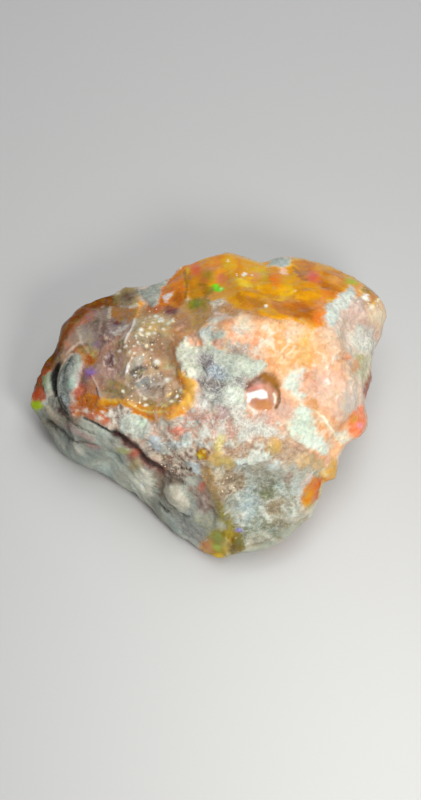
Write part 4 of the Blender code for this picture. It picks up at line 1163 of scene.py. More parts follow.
# flashes and deep places inside the band
for cx, cy, rx, ry, turn, c in ((232, 265, 4.4, 7.0, 10, (255, 186, 40)),
                                (245, 283, 5.2, 2.8, 8, (255, 204, 38)),
                                (239, 279, 2.6, 2.0, 0, (255, 226, 84)),
                                (250, 285.5, 3.0, 1.8, 10, (255, 218, 60)),
                                (284, 296, 5.0, 3.0, 14, (255, 190, 16)),
                                (291, 291.5, 3.6, 2.2, 14, (255, 204, 44)),
                                (279, 300, 2.6, 1.8, 20, (255, 200, 30)),
                                (222, 270, 3.4, 4.4, 10, (252, 168, 44)),
                                (259, 285, 3.0, 2.4, 0, (246, 186, 30)),
                                (335, 280, 7.0, 4.0, -14, (244, 168, 66)),
                                (300, 297, 3.0, 2.4, 0, (252, 176, 30))):
    lay(spot(cx, cy, rx, ry, turn, soft=0.8, fray=1.0), srgb(*c), clear_=0.05)
for path, half, c in (([(238, 296), (252, 300), (264, 304)], 3.4, (214, 140, 22)),
                      ([(276, 305), (288, 309), (298, 316)], 3.4, (222, 128, 2)),
                      ([(246, 291), (262, 292), (274, 296)], 2.4, (232, 156, 6)),
                      ([(296, 304), (306, 308), (312, 315)], 3.0, (218, 122, 4)),
                      ([(190, 274), (189, 284), (191, 294)], 2.6, (206, 132, 24)),
                      ([(200, 284), (206, 289), (206, 296)], 2.4, (186, 132, 30))):
    lay(line(path, half, soft=2.2, fray=1.0), srgb(*c), clear_=0.22)
lay(line([(322, 283), (332, 288), (341, 290)], 2.0, soft=1.8, fray=0.9), srgb(206, 122, 26),
    clear_=0.2)
lay(line([(293, 268), (298, 273), (306, 277)], 2.0, soft=1.8, fray=0.9), srgb(190, 116, 70),
    clear_=0.2)
# painted light: a bright hairline where the edge of the band lets light through
lay(line([(190, 262), (204, 256), (226, 252), (243, 257), (262, 264)], 1.3, soft=1.2,
         fray=0.2), srgb(246, 200, 120), clear_=0.2)
lay(line([(294, 259), (304, 259), (322, 264), (346, 272), (358, 280)], 1.3, soft=1.2,
         fray=0.2), srgb(240, 190, 100), clear_=0.2)

# ---- right end: pale patch, tan knob, grey-white right wall
right_side = area([(326, 322), (330, 304), (342, 292), (352, 286), (362, 288), (374, 294),
                   (386, 306), (388, 324), (382, 338), (374, 352), (374, 378), (372, 400),
                   (366, 412), (356, 408), (346, 412), (338, 402), (346, 384), (350, 360),
                   (344, 340)], soft=4.0, fray=1.5)
lay(right_side, mix(mix(srgb(222, 194, 174), srgb(234, 216, 196), 0.5 + n_small), CHALK,
                    rise(n_mid, 0.1, 0.6) * 0.6), rough_=0.55, clear_=0.05, rind_=0.5)
lay(area([(366, 292), (376, 292), (388, 304), (388, 322), (380, 330), (368, 320), (362, 302)],
         soft=4.0, fray=1.0), mix(srgb(240, 210, 172), srgb(244, 200, 150), 0.5 + n_tiny),
    rough_=0.3, clear_=0.12, rind_=0.2)
lay(spot(370, 300, 9, 7, -30, soft=0.8, fray=0.9), mix(srgb(226, 170, 96), srgb(240, 200, 140),
                                                      0.5 + n_tiny), rough_=0.12, clear_=0.3,
    rind_=0.0)
lay(spot(356, 314, 11, 14, 0, soft=0.9, fray=1.2), mix(srgb(208, 178, 164),
                                                      srgb(226, 198, 182), 0.5 + n_tiny),
    rough_=0.5)
lay(spot(371, 293, 9, 4.4, -35, soft=0.8, fray=0.9), mix(srgb(206, 148, 60), srgb(230, 176, 92),
                                                        0.5 + n_tiny), rough_=0.12, clear_=0.25,
    rind_=0.0)
lay(spot(376, 314, 8.0, 9.0, 0, soft=0.9, fray=1.1), mix(srgb(246, 222, 186), srgb(238, 204, 166),
                                                        0.5 + n_tiny), rough_=0.4)
# painted glints: white and yellow highlights among golden-brown grains on the knob's glassy top
for cx, cy, r, c in [(364, 297, 3.4, WHITE), (367.5, 299.5, 2.4, WHITE), (376, 300, 2.2, WHITE),
                     (371, 307, 2.4, WHITE), (373, 303, 1.6, YELLOW), (361, 289, 2.2, CREAM),
                     (369, 303, 1.8, srgb(190, 130, 60)), (379, 305, 2.0, srgb(236, 190, 110))]:
    lay(spot(cx, cy, r, r * 0.75, 20, soft=0.5, fray=0.5), c, rough_=0.06, rind_=0.0,
        clear_=0.0, lift_=0.08)
lay(area([(353, 286), (361, 286), (364, 291), (361, 297), (355, 296)], soft=2.6, fray=0.9),
    mix(srgb(244, 178, 106), srgb(240, 166, 88), 0.5 + n_tiny), rough_=0.2, clear_=0.1, rind_=0.0)
lay(spot(362, 290, 2.4, 2.8, 0, soft=0.8), srgb(252, 214, 128), rough_=0.1, clear_=0.05)
lay(line([(364, 289), (371, 292), (376, 297)], 2.2, soft=1.8, fray=0.6), srgb(186, 142, 52),
    rough_=0.15, clear_=0.2, rind_=0.0)
lay(area([(368, 294), (374, 294), (376, 299), (372, 303), (368, 300)], soft=2.0, fray=0.7),
    mix(srgb(226, 158, 82), srgb(216, 142, 64), 0.5 + n_tiny), rough_=0.15, clear_=0.15)
# painted highlights on the knob
lay(area([(362.5, 298), (367.5, 294.5), (368, 301.5), (366, 301)], soft=1.0, fray=0.3),
    srgb(255, 252, 236), rough_=0.05, clear_=0.0)
lay(spot(377.5, 299.5, 2.2, 1.8, 0, soft=0.7), srgb(255, 240, 204), rough_=0.08, clear_=0.0)
lay(spot(371, 306, 2.4, 2.0, 0, soft=0.8), srgb(252, 234, 190), rough_=0.08, clear_=0.0)
lay(spot(362, 326, 6.5, 5.5, -20, soft=0.9, fray=1.1), srgb(214, 176, 156), rough_=0.5)
lay(spot(380, 318, 6.0, 8.0, 10, soft=0.9, fray=0.8), srgb(250, 230, 198), rough_=0.35)
pale_patch = area([(351, 287), (338, 296), (327, 304), (324, 314), (330, 328), (337, 326),
                   (338, 315), (347, 306), (355, 298)], soft=1.8, fray=0.9)
lay(pale_patch, mix(srgb(210, 220, 208), srgb(196, 204, 196), 0.4 + 1.2 * n_tiny), rough_=0.85,
    clear_=0.0, rind_=0.9, lift_=0.14)
lay(area([(350, 332), (360, 326), (372, 330), (372, 342), (368, 352), (358, 350), (350, 342)],
         soft=3.0, fray=1.3), mix(srgb(226, 226, 210), CHALK, 0.3 + n_tiny), rough_=0.8,
    clear_=0.0, rind_=0.8, lift_=0.08)
lay(area([(352, 354), (362, 352), (371, 358), (370, 378), (364, 384), (354, 372)], soft=3.0,
         fray=1.1), mix(srgb(208, 208, 184), srgb(204, 190, 156), 0.4 + n_tiny), rough_=0.7,
    clear_=0.0, rind_=0.7, lift_=0.04)
lay(spot(355, 367, 3.6, 5.4, -20, soft=0.9, fray=1.0), srgb(226, 166, 118), rough_=0.5)
lay(spot(360, 360, 3.0, 4.6, -10, soft=0.9, fray=1.0), srgb(198, 186, 118), rough_=0.4)
lay(area([(367, 376), (372, 372), (372, 388), (364, 399), (362, 392)], soft=1.6),
    srgb(168, 90, 62), rough_=0.25, clear_=0.2, rind_=0.0)
translucent = spot(347, 402, 11, 14, 10, soft=0.7, fray=1.0)
lay(translucent, mix(srgb(218, 206, 190), srgb(198, 198, 192), 0.5 + n_tiny), rough_=0.2,
    clear_=0.25, rind_=0.1)
nub = area([(349, 424), (350, 412), (358, 406), (363, 404), (366, 420), (364, 431), (356, 437),
            (348, 434)], soft=1.8)
lay(nub, mix(srgb(244, 122, 74), srgb(250, 158, 112), 0.5 + n_tiny), rough_=0.2, clear_=0.10,
    rind_=0.05, lift_=0.10)
lay(line([(349, 424), (351, 416), (354, 411)], 1.8, soft=1.8), srgb(246, 140, 76))
lay(spot(353.5, 419, 4.6, 4.4, 0, soft=0.9), srgb(230, 156, 66), rough_=0.2)
lay(spot(359.5, 426, 2.6, 2.4, 0, soft=0.8), srgb(246, 156, 172))
lay(area([(330, 446), (340, 440), (350, 434), (356, 436), (346, 446), (336, 458), (330, 456)],
         soft=3.0), mix(srgb(248, 182, 140), PEACH, 0.5 + n_tiny), rough_=0.4, clear_=0.1,
    rind_=0.2)
lay(area([(336, 428), (346, 432), (352, 438), (342, 444), (334, 436)], soft=2.2, fray=1.0),
    mix(srgb(226, 226, 206), CREAM, 0.5 + n_tiny), rough_=0.7, rind_=0.7)
tab = area([(321, 472), (330, 466), (336, 456), (338, 470), (335, 483), (326, 484), (321, 478)],
           soft=1.6)
lay(tab, mix(srgb(232, 188, 112), srgb(226, 168, 80), 0.5 + n_tiny), rough_=0.12, clear_=0.18,
    rind_=0.0)
lay(line([(333, 462), (335, 470), (332, 478)], 1.5, soft=1.4), srgb(214, 170, 96))
lay(line([(325, 469), (324, 475), (328, 479)], 1.5, soft=1.4), srgb(240, 214, 160))
lay(line([(322, 480), (329, 482), (335, 480)], 2.4, soft=2.0), srgb(222, 146, 40))
oval = area([(303, 504), (302, 494), (307, 483), (315, 477), (321, 480), (320, 492), (315, 504),
             (308, 508)], soft=2.4, fray=0.3)
lay(oval, mix(srgb(240, 126, 22), srgb(246, 150, 40), 0.5 + n_tiny), rough_=0.1, clear_=0.20,
    rind_=0.0)
lay(area([(302, 504), (301, 494), (307, 482), (315, 476), (321, 480), (320, 492), (315, 504),
          (308, 508)], soft=4.0, fray=0.0), lift_=0.14)
lay(line([(300, 501), (300.5, 492), (305, 483), (311, 477)], 2.2, soft=1.6), srgb(226, 204, 190),
    clear_=0.05)
lay(line([(311, 506), (316, 500), (320, 490), (320, 481)], 1.6, soft=1.4), srgb(214, 98, 20))
lay(spot(309, 493, 3.6, 6.0, -25, soft=0.9), srgb(255, 172, 34))
lay(spot(315, 486, 2.2, 3.4, -25, soft=0.9), srgb(246, 122, 24))
lay(spot(308, 504, 4.0, 3.0, 20, soft=0.9), srgb(248, 178, 78))
lay(line([(323, 484), (321, 498), (314, 510)], 1.8, soft=1.6), srgb(206, 190, 136))
lay(spot(309, 513, 8, 6, 20, soft=0.9), srgb(226, 196, 164), rough_=0.35, clear_=0.1)
lay(spot(311, 507, 4, 3.4, 20, soft=0.9), srgb(206, 166, 84), rough_=0.2, clear_=0.15)

# ---- matt pale rind plates over the middle
crust = area([(179, 345), (183, 337), (187, 336), (188, 344), (196, 349), (203, 347), (206, 340),
              (199, 336), (197, 331), (203, 328), (212, 328), (220, 331), (226, 337),
              (218, 341), (214, 347), (226, 350), (240, 352), (252, 357), (262, 361),
              (266, 367), (262, 372), (252, 376), (246, 380), (246, 398), (240, 404),
              (228, 408), (216, 404), (206, 400), (202, 388), (196, 379), (188, 376),
              (181, 368), (178, 356)], soft=1.6, fray=1.0)
crust_mix = mix(srgb(198, 205, 193), srgb(216, 222, 206), 0.5 + 1.0 * n_tiny)
lay(crust, crust_mix, rough_=0.88, clear_=0.0, rind_=1.0, lift_=0.14, curl_=0.45, grit_=0.1)
# cream lobe on the left, with a bright edge where it meets the gold lip
lay(area([(179, 346), (186, 342), (196, 350), (200, 360), (198, 374), (188, 376), (181, 366)],
         soft=2.6, fray=1.0) * crust, mix(srgb(226, 228, 206), srgb(208, 212, 192),
                                         0.4 + n_tiny), lift_=0.06)
lay(line([(179, 350), (180, 361), (184, 370), (191, 377)], 1.5, soft=1.4, fray=0.6),
    srgb(246, 242, 214))
lay(line([(183, 341), (190, 345), (197, 351)], 1.6, soft=1.5, fray=0.8), srgb(240, 240, 214))
# white patch above, with a peach island beside it
lay(area([(198, 334), (203, 328), (214, 328), (218, 333), (211, 338), (207, 346), (201, 346),
          (203, 339)], soft=2.0, fray=1.0), mix(srgb(228, 234, 228), srgb(206, 212, 206),
                                               0.4 + n_tiny), rough_=0.85, rind_=0.9,
    curl_=0.6, lift_=0.08)
lay(line([(212, 331), (220, 331), (227, 334)], 2.0, soft=1.8, fray=0.9), srgb(232, 206, 176))
lay(area([(187, 338), (192, 335), (199, 338), (203, 343), (202, 348), (195, 347), (189, 343)],
         soft=2.6, fray=1.1), mix(srgb(224, 158, 116), srgb(236, 196, 166), 0.4 + 1.3 * n_tiny),
    rough_=0.45, clear_=0.1, rind_=0.25, lift_=-0.10, curl_=0.1)
lay(area([(213, 341), (220, 339), (226, 342), (220, 347), (213, 347)], soft=2.0, fray=0.9),
    srgb(236, 172, 144), rough_=0.5, rind_=0.3, lift_=-0.06, curl_=0.2)
lay(area([(222, 343), (236, 341), (250, 344), (254, 352), (244, 356), (230, 354)], soft=3.2,
         fray=1.2), mix(srgb(198, 178, 164), srgb(216, 194, 172), 0.5 + n_tiny), rough_=0.6,
    rind_=0.6, curl_=0.8)
# mauve and blue-grey middle, full of curling threads
lay(area([(197, 357), (205, 354), (214, 357), (218, 364), (212, 370), (203, 370), (198, 364)],
         soft=2.8, fray=1.1), mix(srgb(158, 142, 144), srgb(190, 184, 184), 0.5 + 1.3 * n_tiny),
    curl_=1.0)
lay(area([(206, 368), (214, 364), (222, 366), (228, 372), (222, 380), (212, 381), (206, 376)],
         soft=3.2, fray=1.0), mix(srgb(154, 170, 186), srgb(182, 194, 202), 0.4 + n_tiny),
    curl_=0.8)
lay(area([(193, 379), (204, 376), (216, 380), (226, 384), (224, 393), (212, 393), (202, 388)],
         soft=3.0, fray=1.1), mix(srgb(162, 152, 148), srgb(192, 184, 176), 0.5 + 1.2 * n_tiny),
    curl_=1.0)
lay(spot(213, 390, 5.5, 4.0, 20, soft=0.8, fray=1.0), srgb(146, 146, 146), curl_=0.8)
lay(spot(240, 381, 7.5, 4.0, 20, soft=0.9, fray=1.0), srgb(176, 172, 166), curl_=1.0)
lay(spot(226, 372, 6.0, 5.0, -20, soft=0.9, fray=1.3), srgb(178, 188, 194), curl_=0.8)
lay(spot(201, 358, 6.0, 5.0, 0, soft=0.9, fray=1.3), srgb(186, 180, 176), curl_=0.9)
lay(spot(219, 398, 7.0, 5.0, 20, soft=0.9, fray=1.4), srgb(176, 174, 170), curl_=0.9)
lay(spot(236, 365, 8.0, 4.0, 20, soft=0.9, fray=1.4), srgb(194, 206, 196), curl_=0.4)
lay(spot(244, 396, 3.0, 5.0, 0, soft=0.8, fray=0.9), srgb(158, 150, 152), curl_=1.0)
# smooth pale lobe on the right
lay(area([(222, 354), (236, 356), (250, 358), (262, 362), (262, 370), (250, 374), (238, 376),
          (228, 374), (228, 364)], soft=3.0, fray=0.8), mix(srgb(204, 214, 200),
                                                           srgb(216, 224, 208), 0.5 + n_tiny),
    curl_=0.25)
lay(area([(224, 388), (236, 385), (246, 389), (245, 400), (234, 405), (225, 398)], soft=2.6,
         fray=1.0), mix(srgb(232, 240, 222), srgb(214, 220, 204), 0.35 + n_tiny), curl_=0.5,
    lift_=0.05)
lay(area([(196, 394), (206, 392), (212, 398), (210, 406), (200, 408)], soft=2.4, fray=1.0),
    mix(srgb(226, 228, 218), srgb(196, 190, 182), 0.4 + 1.2 * n_tiny), curl_=0.9)
lay(area([(216, 404), (228, 406), (236, 410), (232, 418), (220, 416)], soft=2.6, fray=1.1),
    mix(srgb(186, 156, 152), srgb(206, 186, 180), 0.5 + n_tiny), rough_=0.6, rind_=0.6,
    curl_=0.7)
worm_line = 1.0 - rise(np.abs(grain(P + 141.0, 0.5) + 0.4 * grain(P + 151.0, 0.26)), 0.05, 0.2)
worm_field = any_of(spot(207, 362, 10, 7, 0, soft=0.8), spot(214, 386, 12, 9, -10, soft=0.8),
                    spot(240, 381, 10, 5, 20, soft=0.8) * 0.8,
                    spot(222, 368, 9, 7, 10, soft=0.8) * 0.6,
                    spot(205, 397, 9, 7, 10, soft=0.8) * 0.6,
                    spot(222, 398, 8, 6, 10, soft=0.8) * 0.5)
lay(np.clip(worm_field * worm_line * 0.65, 0, 1), srgb(116, 110, 110), lift_=-0.05)
crust2 = area([(222, 390), (236, 388), (246, 394), (246, 404), (242, 412), (250, 420),
               (264, 426), (276, 428), (282, 436), (270, 438), (252, 434), (238, 424),
               (230, 412), (222, 402)], soft=2.2, fray=1.4)
lay(crust2 * (1.0 - 0.6 * crust), mix(srgb(218, 222, 208), srgb(198, 194, 184),
                                     0.35 + 1.2 * n_tiny), rough_=0.85,
    clear_=0.0, rind_=0.9, lift_=0.07, curl_=0.7)
for path, blur, mess in (
        ([(285, 381), (291, 372), (303, 369), (305, 376), (300, 386), (306, 395), (300, 399),
          (290, 393), (284, 387)], 3.0, 1.2),
        ([(287, 424), (292, 411), (301, 404), (311, 409), (315, 425), (321, 438), (318, 449),
          (308, 448), (296, 441), (288, 434)], 3.4, 0.8),
        ([(314, 438), (322, 437), (331, 447), (328, 455), (318, 453)], 2.6, 1.2)):
    patch = area(path, soft=blur + 2.6, fray=0.5 * mess)
    patch = rise(patch * (1.0 + 0.35 * n_tiny + 0.45 * n_small), 0.04, 0.92)
    lay(patch, mix(srgb(222, 233, 216), srgb(206, 216, 202), 0.3 + 0.9 * n_tiny), rough_=0.82,
        clear_=0.0, rind_=0.7, lift_=0.08, curl_=0.12, grit_=0.0)
# painted shade: a dark tan line along the left and lower edge of the pale patch
lay(line([(286, 425), (288.5, 436), (298, 444), (308, 450)], 1.5, soft=1.5, fray=0.8),
    srgb(196, 158, 128))
lay(spot(289.5, 340, 3.4, 4.0, 0, soft=0.8, fray=1.0), srgb(238, 240, 224), rough_=0.7,
    rind_=0.7, lift_=0.06)
lay(line([(254, 352), (262, 346), (270, 341)], 3.2, soft=2.4, fray=1.3),
    mix(CREAM, srgb(236, 230, 208), 0.5 + n_tiny), rough_=0.6, lift_=0.05)
lay(spot(243, 327, 7.5, 10, 10, soft=0.8, fray=1.5), mix(srgb(236, 236, 218), CREAM,
                                                        0.4 + n_tiny), rough_=0.7, rind_=0.7,
    lift_=0.06)
lay(area([(236, 462), (240, 452), (252, 450), (264, 452), (272, 456), (262, 462), (250, 464)],
         soft=2.0, fray=1.3), mix(srgb(220, 232, 222), srgb(202, 210, 200), 0.3 + n_tiny),
    rough_=0.8, rind_=0.9, lift_=0.1)
lay(spot(302, 340, 12, 6, -10, soft=0.9, fray=1.2), mix(srgb(250, 226, 200), CREAM,
                                                       0.5 + n_tiny), rough_=0.4)
lay(spot(330, 386, 15, 23, 0, soft=0.9, fray=1.2), mix(srgb(246, 204, 176), srgb(242, 186, 156),
                                                      0.5 + n_tiny))
lay(spot(281, 404, 9, 11, 10, soft=0.9, fray=1.3), mix(srgb(232, 172, 146), srgb(214, 152, 122),
                                                      0.5 + n_tiny), rough_=0.45)

# cream line, amber drop
lay(line([(322, 417), (330, 427), (338, 439)], 1.5, soft=1.1), srgb(255, 242, 212), rough_=0.4,
    lift_=0.1)
lay(line([(314, 409), (320, 416)], 1.0, soft=0.9), srgb(252, 226, 194), lift_=0.05)
lay(area([(310, 397), (315, 398), (319, 404), (318, 412), (313, 410)], soft=3.4, fray=0.8),
    mix(srgb(232, 162, 100), srgb(222, 146, 78), 0.5 + n_tiny), rough_=0.2, clear_=0.12,
    rind_=0.1, lift_=0.03)
# squiggles painted as highlights along fine wrinkles, pale blobs and golden haze on the peach face
lay(np.clip(wrinkle_highlight * spot(322, 384, 26, 26, 0, soft=0.8) * rise(n_small, -0.4, 0.4) * 0.45, 0, 1),
    srgb(254, 234, 212))
lay(spot(305, 342, 7.5, 15, -8, soft=0.9, fray=1.6), mix(srgb(248, 184, 92),
                                                        srgb(250, 206, 138), 0.5 + n_tiny))
lay(spot(296, 332, 8.0, 5.0, 0, soft=0.9, fray=1.4), mix(srgb(250, 226, 200),
                                                        srgb(240, 206, 170), 0.5 + n_tiny))
for cx, cy, rx, ry, turn in ((329, 369, 2.2, 5.0, 8), (327, 382, 2.4, 3.4, 0), (258, 349, 4, 2.4, 30),
                             (262, 341, 3.4, 2.0, 20), (336, 357, 2.4, 1.8, 0),
                             (272, 332, 3.0, 2.0, 0), (289, 341, 2.6, 3.4, 0),
                             (318, 393, 2.4, 1.6, 30), (312, 366, 2.6, 1.6, 0),
                             (265, 327, 3.4, 1.8, 20), (339, 397, 3.0, 2.0, 30)):
    lay(spot(cx, cy, rx, ry, turn, soft=0.9, fray=1.2), mix(srgb(252, 240, 222),
                                                           srgb(240, 222, 200), 0.4 + n_tiny),
        rough_=0.45, lift_=0.03)
for cx, cy, rx, ry, turn, c in ((247, 337, 6, 3.6, 10, (244, 150, 104)),
                                (256, 331, 5, 3.0, 0, (240, 164, 116)),
                                (303, 377, 5, 3.0, 10, (232, 160, 116)),
                                (320, 371, 5, 4.0, 0, (236, 176, 138)),
                                (335, 374, 4, 5.0, 0, (232, 178, 150)),
                                (309, 389, 5, 4.0, 0, (228, 166, 134)),
                                (292, 365, 6, 3.0, 0, (238, 164, 96)),
                                (284, 412, 5, 4.0, 0, (206, 158, 138))):
    lay(spot(cx, cy, rx, ry, turn, soft=0.9, fray=1.6), mix(srgb(*c), srgb(240, 196, 160),
                                                           0.3 + 1.2 * n_tiny))
# brown-tan ground where the face turns over
lay(area([(226, 444), (250, 446), (262, 438), (284, 440), (300, 450), (316, 454), (316, 462),
          (296, 464), (272, 464), (240, 462), (222, 456)], soft=4.5, fray=1.4),
    mix(srgb(192, 160, 126), srgb(170, 140, 112), 0.5 + n_tiny), rough_=0.45, grit_=0.6,
    curl_=0.4)
lay(spot(282, 410, 11, 8, 0, soft=0.9, fray=1.3), mix(srgb(216, 182, 162), srgb(206, 164, 142),
                                                     0.5 + n_tiny), rough_=0.4)
# white and coral patches in the mauve ground
for cx, cy, rx, ry, turn in [(204, 432, 5.0, 5.4, 0), (220, 428, 5.4, 5.0, 10),
                             (247, 437, 7.5, 4.6, 5), (250, 425, 11, 4.2, 22),
                             (232, 446, 4.6, 3.4, 0), (196, 441, 4.0, 3.0, -10),
                             (212, 444, 3.6, 2.6, 0), (262, 446, 4.4, 3.0, 10)]:
    lay(spot(cx, cy, rx, ry, turn, soft=0.8, fray=1.4), mix(srgb(228, 230, 218),
                                                           srgb(206, 206, 194), 0.4 + n_tiny),
        rough_=0.75, rind_=0.8, lift_=0.10, grit_=0.1)
lay(spot(175, 429, 7.5, 3.6, -5, soft=0.8, fray=1.0), srgb(232, 138, 108), rough_=0.35)
lay(spot(221, 441, 5.0, 5.0, 0, soft=0.9, fray=1.2), srgb(210, 198, 110), rough_=0.35)

# white crust where the face turns over
lay(area([(234, 464), (238, 456), (248, 451), (262, 450), (274, 454), (272, 459), (262, 462),
          (254, 465), (244, 464)], soft=2.2, fray=1.4), mix(srgb(226, 232, 218),
                                                            srgb(200, 204, 190),
                                                            0.35 + 1.2 * n_tiny), rough_=0.8,
    rind_=0.9, clear_=0.0, lift_=0.1, grit_=0.1)
lay(spot(272, 466, 6.0, 3.0, 0, soft=0.9, fray=1.3), srgb(208, 218, 210), rough_=0.7,
    rind_=0.8, lift_=0.05)

# golden beads and warm zones of the lower facet
lay(area([(206, 456), (216, 452), (228, 456), (236, 462), (228, 470), (212, 468)], soft=3.0,
         fray=1.4), mix(srgb(216, 176, 90), srgb(228, 196, 126), 0.4 + n_tiny), rough_=0.3,
    clear_=0.2, rind_=0.2)
lay(spot(218, 448, 3.8, 4.0, 0, soft=0.9), srgb(212, 198, 110), rough_=0.35, clear_=0.1)
lay(area([(194, 456), (198, 451), (205, 449), (208, 453), (206, 459), (199, 460)], soft=1.2),
    srgb(212, 148, 24), rough_=0.08, clear_=0.3, rind_=0.0, lift_=0.14)
lay(line([(204, 448.5), (208.5, 452), (207, 458)], 1.3, soft=1.2), srgb(150, 102, 30))
lay(spot(199.5, 456, 3.6, 2.4, 10, soft=0.7, fray=0.4), srgb(255, 226, 66), rough_=0.08)
# painted highlight on the yellow bead
lay(spot(204.5, 451.5, 1.4, 1.2, soft=0.6, fray=0.2), srgb(255, 238, 140), rough_=0.05)
lay(spot(275, 446, 6.0, 6.4, 0, soft=0.7, fray=0.8), mix(srgb(232, 186, 106),
                                                        srgb(238, 202, 130), 0.5 + n_tiny),
    rough_=0.15, clear_=0.2, rind_=0.0, lift_=0.1)

lay(area([(286, 456), (302, 454), (320, 458), (328, 466), (318, 472), (300, 468)], soft=3.5,
         fray=1.2), mix(srgb(212, 178, 124), srgb(192, 168, 130), 0.5 + n_tiny), rough_=0.4,
    clear_=0.1, rind_=0.2)
grains = area([(208, 472), (226, 470), (244, 474), (246, 488), (236, 498), (222, 496),
               (214, 488)], soft=4.0, fray=1.4)
lay(grains, mix(srgb(162, 132, 104), srgb(220, 204, 174), 0.5 + 1.3 * n_tiny), rough_=0.35,
    rind_=0.6)
lay(spot(269, 494, 7.0, 6.0, 20, soft=0.9, fray=1.3), srgb(156, 156, 118), rough_=0.4)
lay(area([(272, 500), (284, 498), (290, 508), (280, 522), (268, 524), (264, 514)], soft=3.5,
         fray=1.3), mix(srgb(176, 160, 132), srgb(194, 184, 158), 0.5 + n_tiny), rough_=0.45)
lay(spot(290, 478, 7.0, 5.0, 10, soft=0.9, fray=1.2), srgb(172, 148, 128))
lay(area([(296, 472), (304, 478), (302, 494), (292, 498), (290, 486)], soft=3.5, fray=1.2),
    mix(srgb(202, 206, 192), CHALK, 0.5 + n_tiny), rough_=0.6)
lay(area([(258, 508), (262, 506), (268, 515), (268, 519), (261, 516)], soft=1.3),
    srgb(232, 232, 212), rough_=0.5, lift_=0.1)
lay(spot(282.5, 509, 2.8, 3.8, 20, soft=0.7), srgb(226, 218, 194), rough_=0.5, lift_=0.08)
lay(spot(276, 463, 5.4, 4.0, 20, soft=0.9, fray=1.2), srgb(212, 222, 216), rough_=0.5,
    lift_=0.06)
lay(area([(282, 520), (296, 514), (308, 516), (300, 530), (284, 536), (276, 532)], soft=3.5,
         fray=1.1), mix(srgb(206, 192, 172), srgb(196, 192, 178), 0.5 + n_tiny), rough_=0.4,
    clear_=0.1)
lay(area([(246, 540), (252, 534), (266, 532), (272, 538), (262, 546), (248, 550)], soft=2.2),
    mix(srgb(218, 206, 186), srgb(228, 222, 204), 0.4 + n_tiny), rough_=0.35, clear_=0.1)
ridge_low = line([(206, 468), (211, 482), (217, 498), (224, 516), (229, 532)], 4.0, soft=3.6,
                 fray=1.2)
low_ridge_mix = mix(srgb(190, 152, 100), srgb(156, 146, 66), rise(Y, 480.0, 520.0))
lay(ridge_low, mix(low_ridge_mix, srgb(206, 180, 130), rise(n_tiny, 0.0, 0.7) * 0.6),
    rough_=0.25, clear_=0.2, rind_=0.2, lift_=0.08)
lay(area([(221, 512), (229, 514), (234, 526), (231, 538), (224, 532)], soft=4.6, fray=0.9),
    mix(srgb(146, 138, 62), srgb(158, 150, 84), 0.5 + n_tiny), rough_=0.2, clear_=0.3,
    rind_=0.1)

# olive and brown hollows, pale teeth and streaks of the lower facet
for cx, cy, rx, ry, turn, c in ((231, 478, 10, 6, 0, (150, 128, 100)),
                                (222, 492, 6, 8, -20, (164, 142, 112)),
                                (234, 508, 5, 8, 0, (170, 168, 150)),
                                (266, 496, 5, 4.5, 0, (132, 140, 98)),
                                (275, 507, 7, 6, 20, (168, 146, 112)),
                                (284, 523, 6, 5, 0, (172, 156, 128)),
                                (256, 522, 5, 6, 10, (156, 160, 138)),
                                (244, 531, 5, 4, 0, (150, 148, 122)),
                                (290, 500, 4, 4, 0, (178, 172, 150)),
                                (262, 473, 8, 4, 0, (160, 154, 136))):
    lay(spot(cx, cy, rx, ry, turn, soft=0.9, fray=1.6), srgb(*c), rough_=0.4)
for path, half in (([(293, 504), (295, 511), (294, 518)], 1.4), ([(299, 500), (300, 507)], 1.2),
                   ([(283, 506), (284, 512)], 1.6), ([(260, 509), (263, 515)], 2.0),
                   ([(272, 516), (269, 521)], 1.0), ([(275, 489), (281, 492)], 1.0),
                   ([(268, 503), (274, 500)], 0.9), ([(250, 486), (246, 495)], 1.0),
                   ([(248, 508), (244, 517)], 1.0), ([(238, 496), (241, 504)], 1.0)):
    lay(line(path, half, soft=1.2, fray=0.9), srgb(232, 230, 214), lift_=0.03)

# paler, thinner edge along the lower right
lay(line([(320, 504), (308, 521), (295, 532), (281, 541), (265, 547), (246, 552)], 5.6, soft=4.2,
         fray=0.7), mix(srgb(212, 210, 194), srgb(196, 196, 180), 0.5 + n_small), rough_=0.35,
    clear_=0.12, rind_=0.2, curl_=0.0, grit_=0.1)
lay(line([(308, 517), (298, 525)], 1.4, soft=1.6, fray=0.9), srgb(176, 164, 144))
lay(line([(278, 537), (262, 543), (250, 546)], 1.4, soft=1.6, fray=0.9), srgb(170, 160, 138))

# bottom tip
tip = area([(199, 546), (206, 540), (214, 534), (226, 530), (240, 534), (244, 546), (232, 556),
            (216, 562), (206, 556)], soft=4.2, fray=0.8)
lay(tip, mix(srgb(190, 160, 60), srgb(168, 148, 66), 0.5 + 1.2 * n_small), rough_=0.1, clear_=0.3,
    rind_=0.0, curl_=0.0, grit_=0.0)
lay(spot(206, 547, 6.6, 5.0, -30, soft=0.7), srgb(230, 158, 106), clear_=0.2)
lay(spot(217, 541, 5.8, 6.4, 0, soft=0.9), srgb(184, 172, 50))
lay(spot(220, 548, 5.0, 3.6, 0, soft=0.9), srgb(188, 210, 104))
lay(spot(217, 557, 6.4, 3.0, 0, soft=0.7), srgb(242, 200, 66))
lay(spot(235, 545, 4.4, 7.0, 10, soft=0.9), srgb(178, 140, 44))
lay(line([(229, 535), (228, 545), (230, 553)], 1.4, soft=1.3), srgb(156, 112, 30))
# painted highlight on the bottom tip
lay(spot(226.5, 541, 1.8, 3.2, 0, soft=0.7), srgb(244, 228, 160), rough_=0.06)
lay(line([(227, 550), (229, 557)], 1.2, soft=1.0), srgb(226, 216, 170))
lay(spot(239, 531, 3.6, 2.4, 0, soft=0.6, fray=0.4), srgb(158, 146, 226), rough_=0.2)

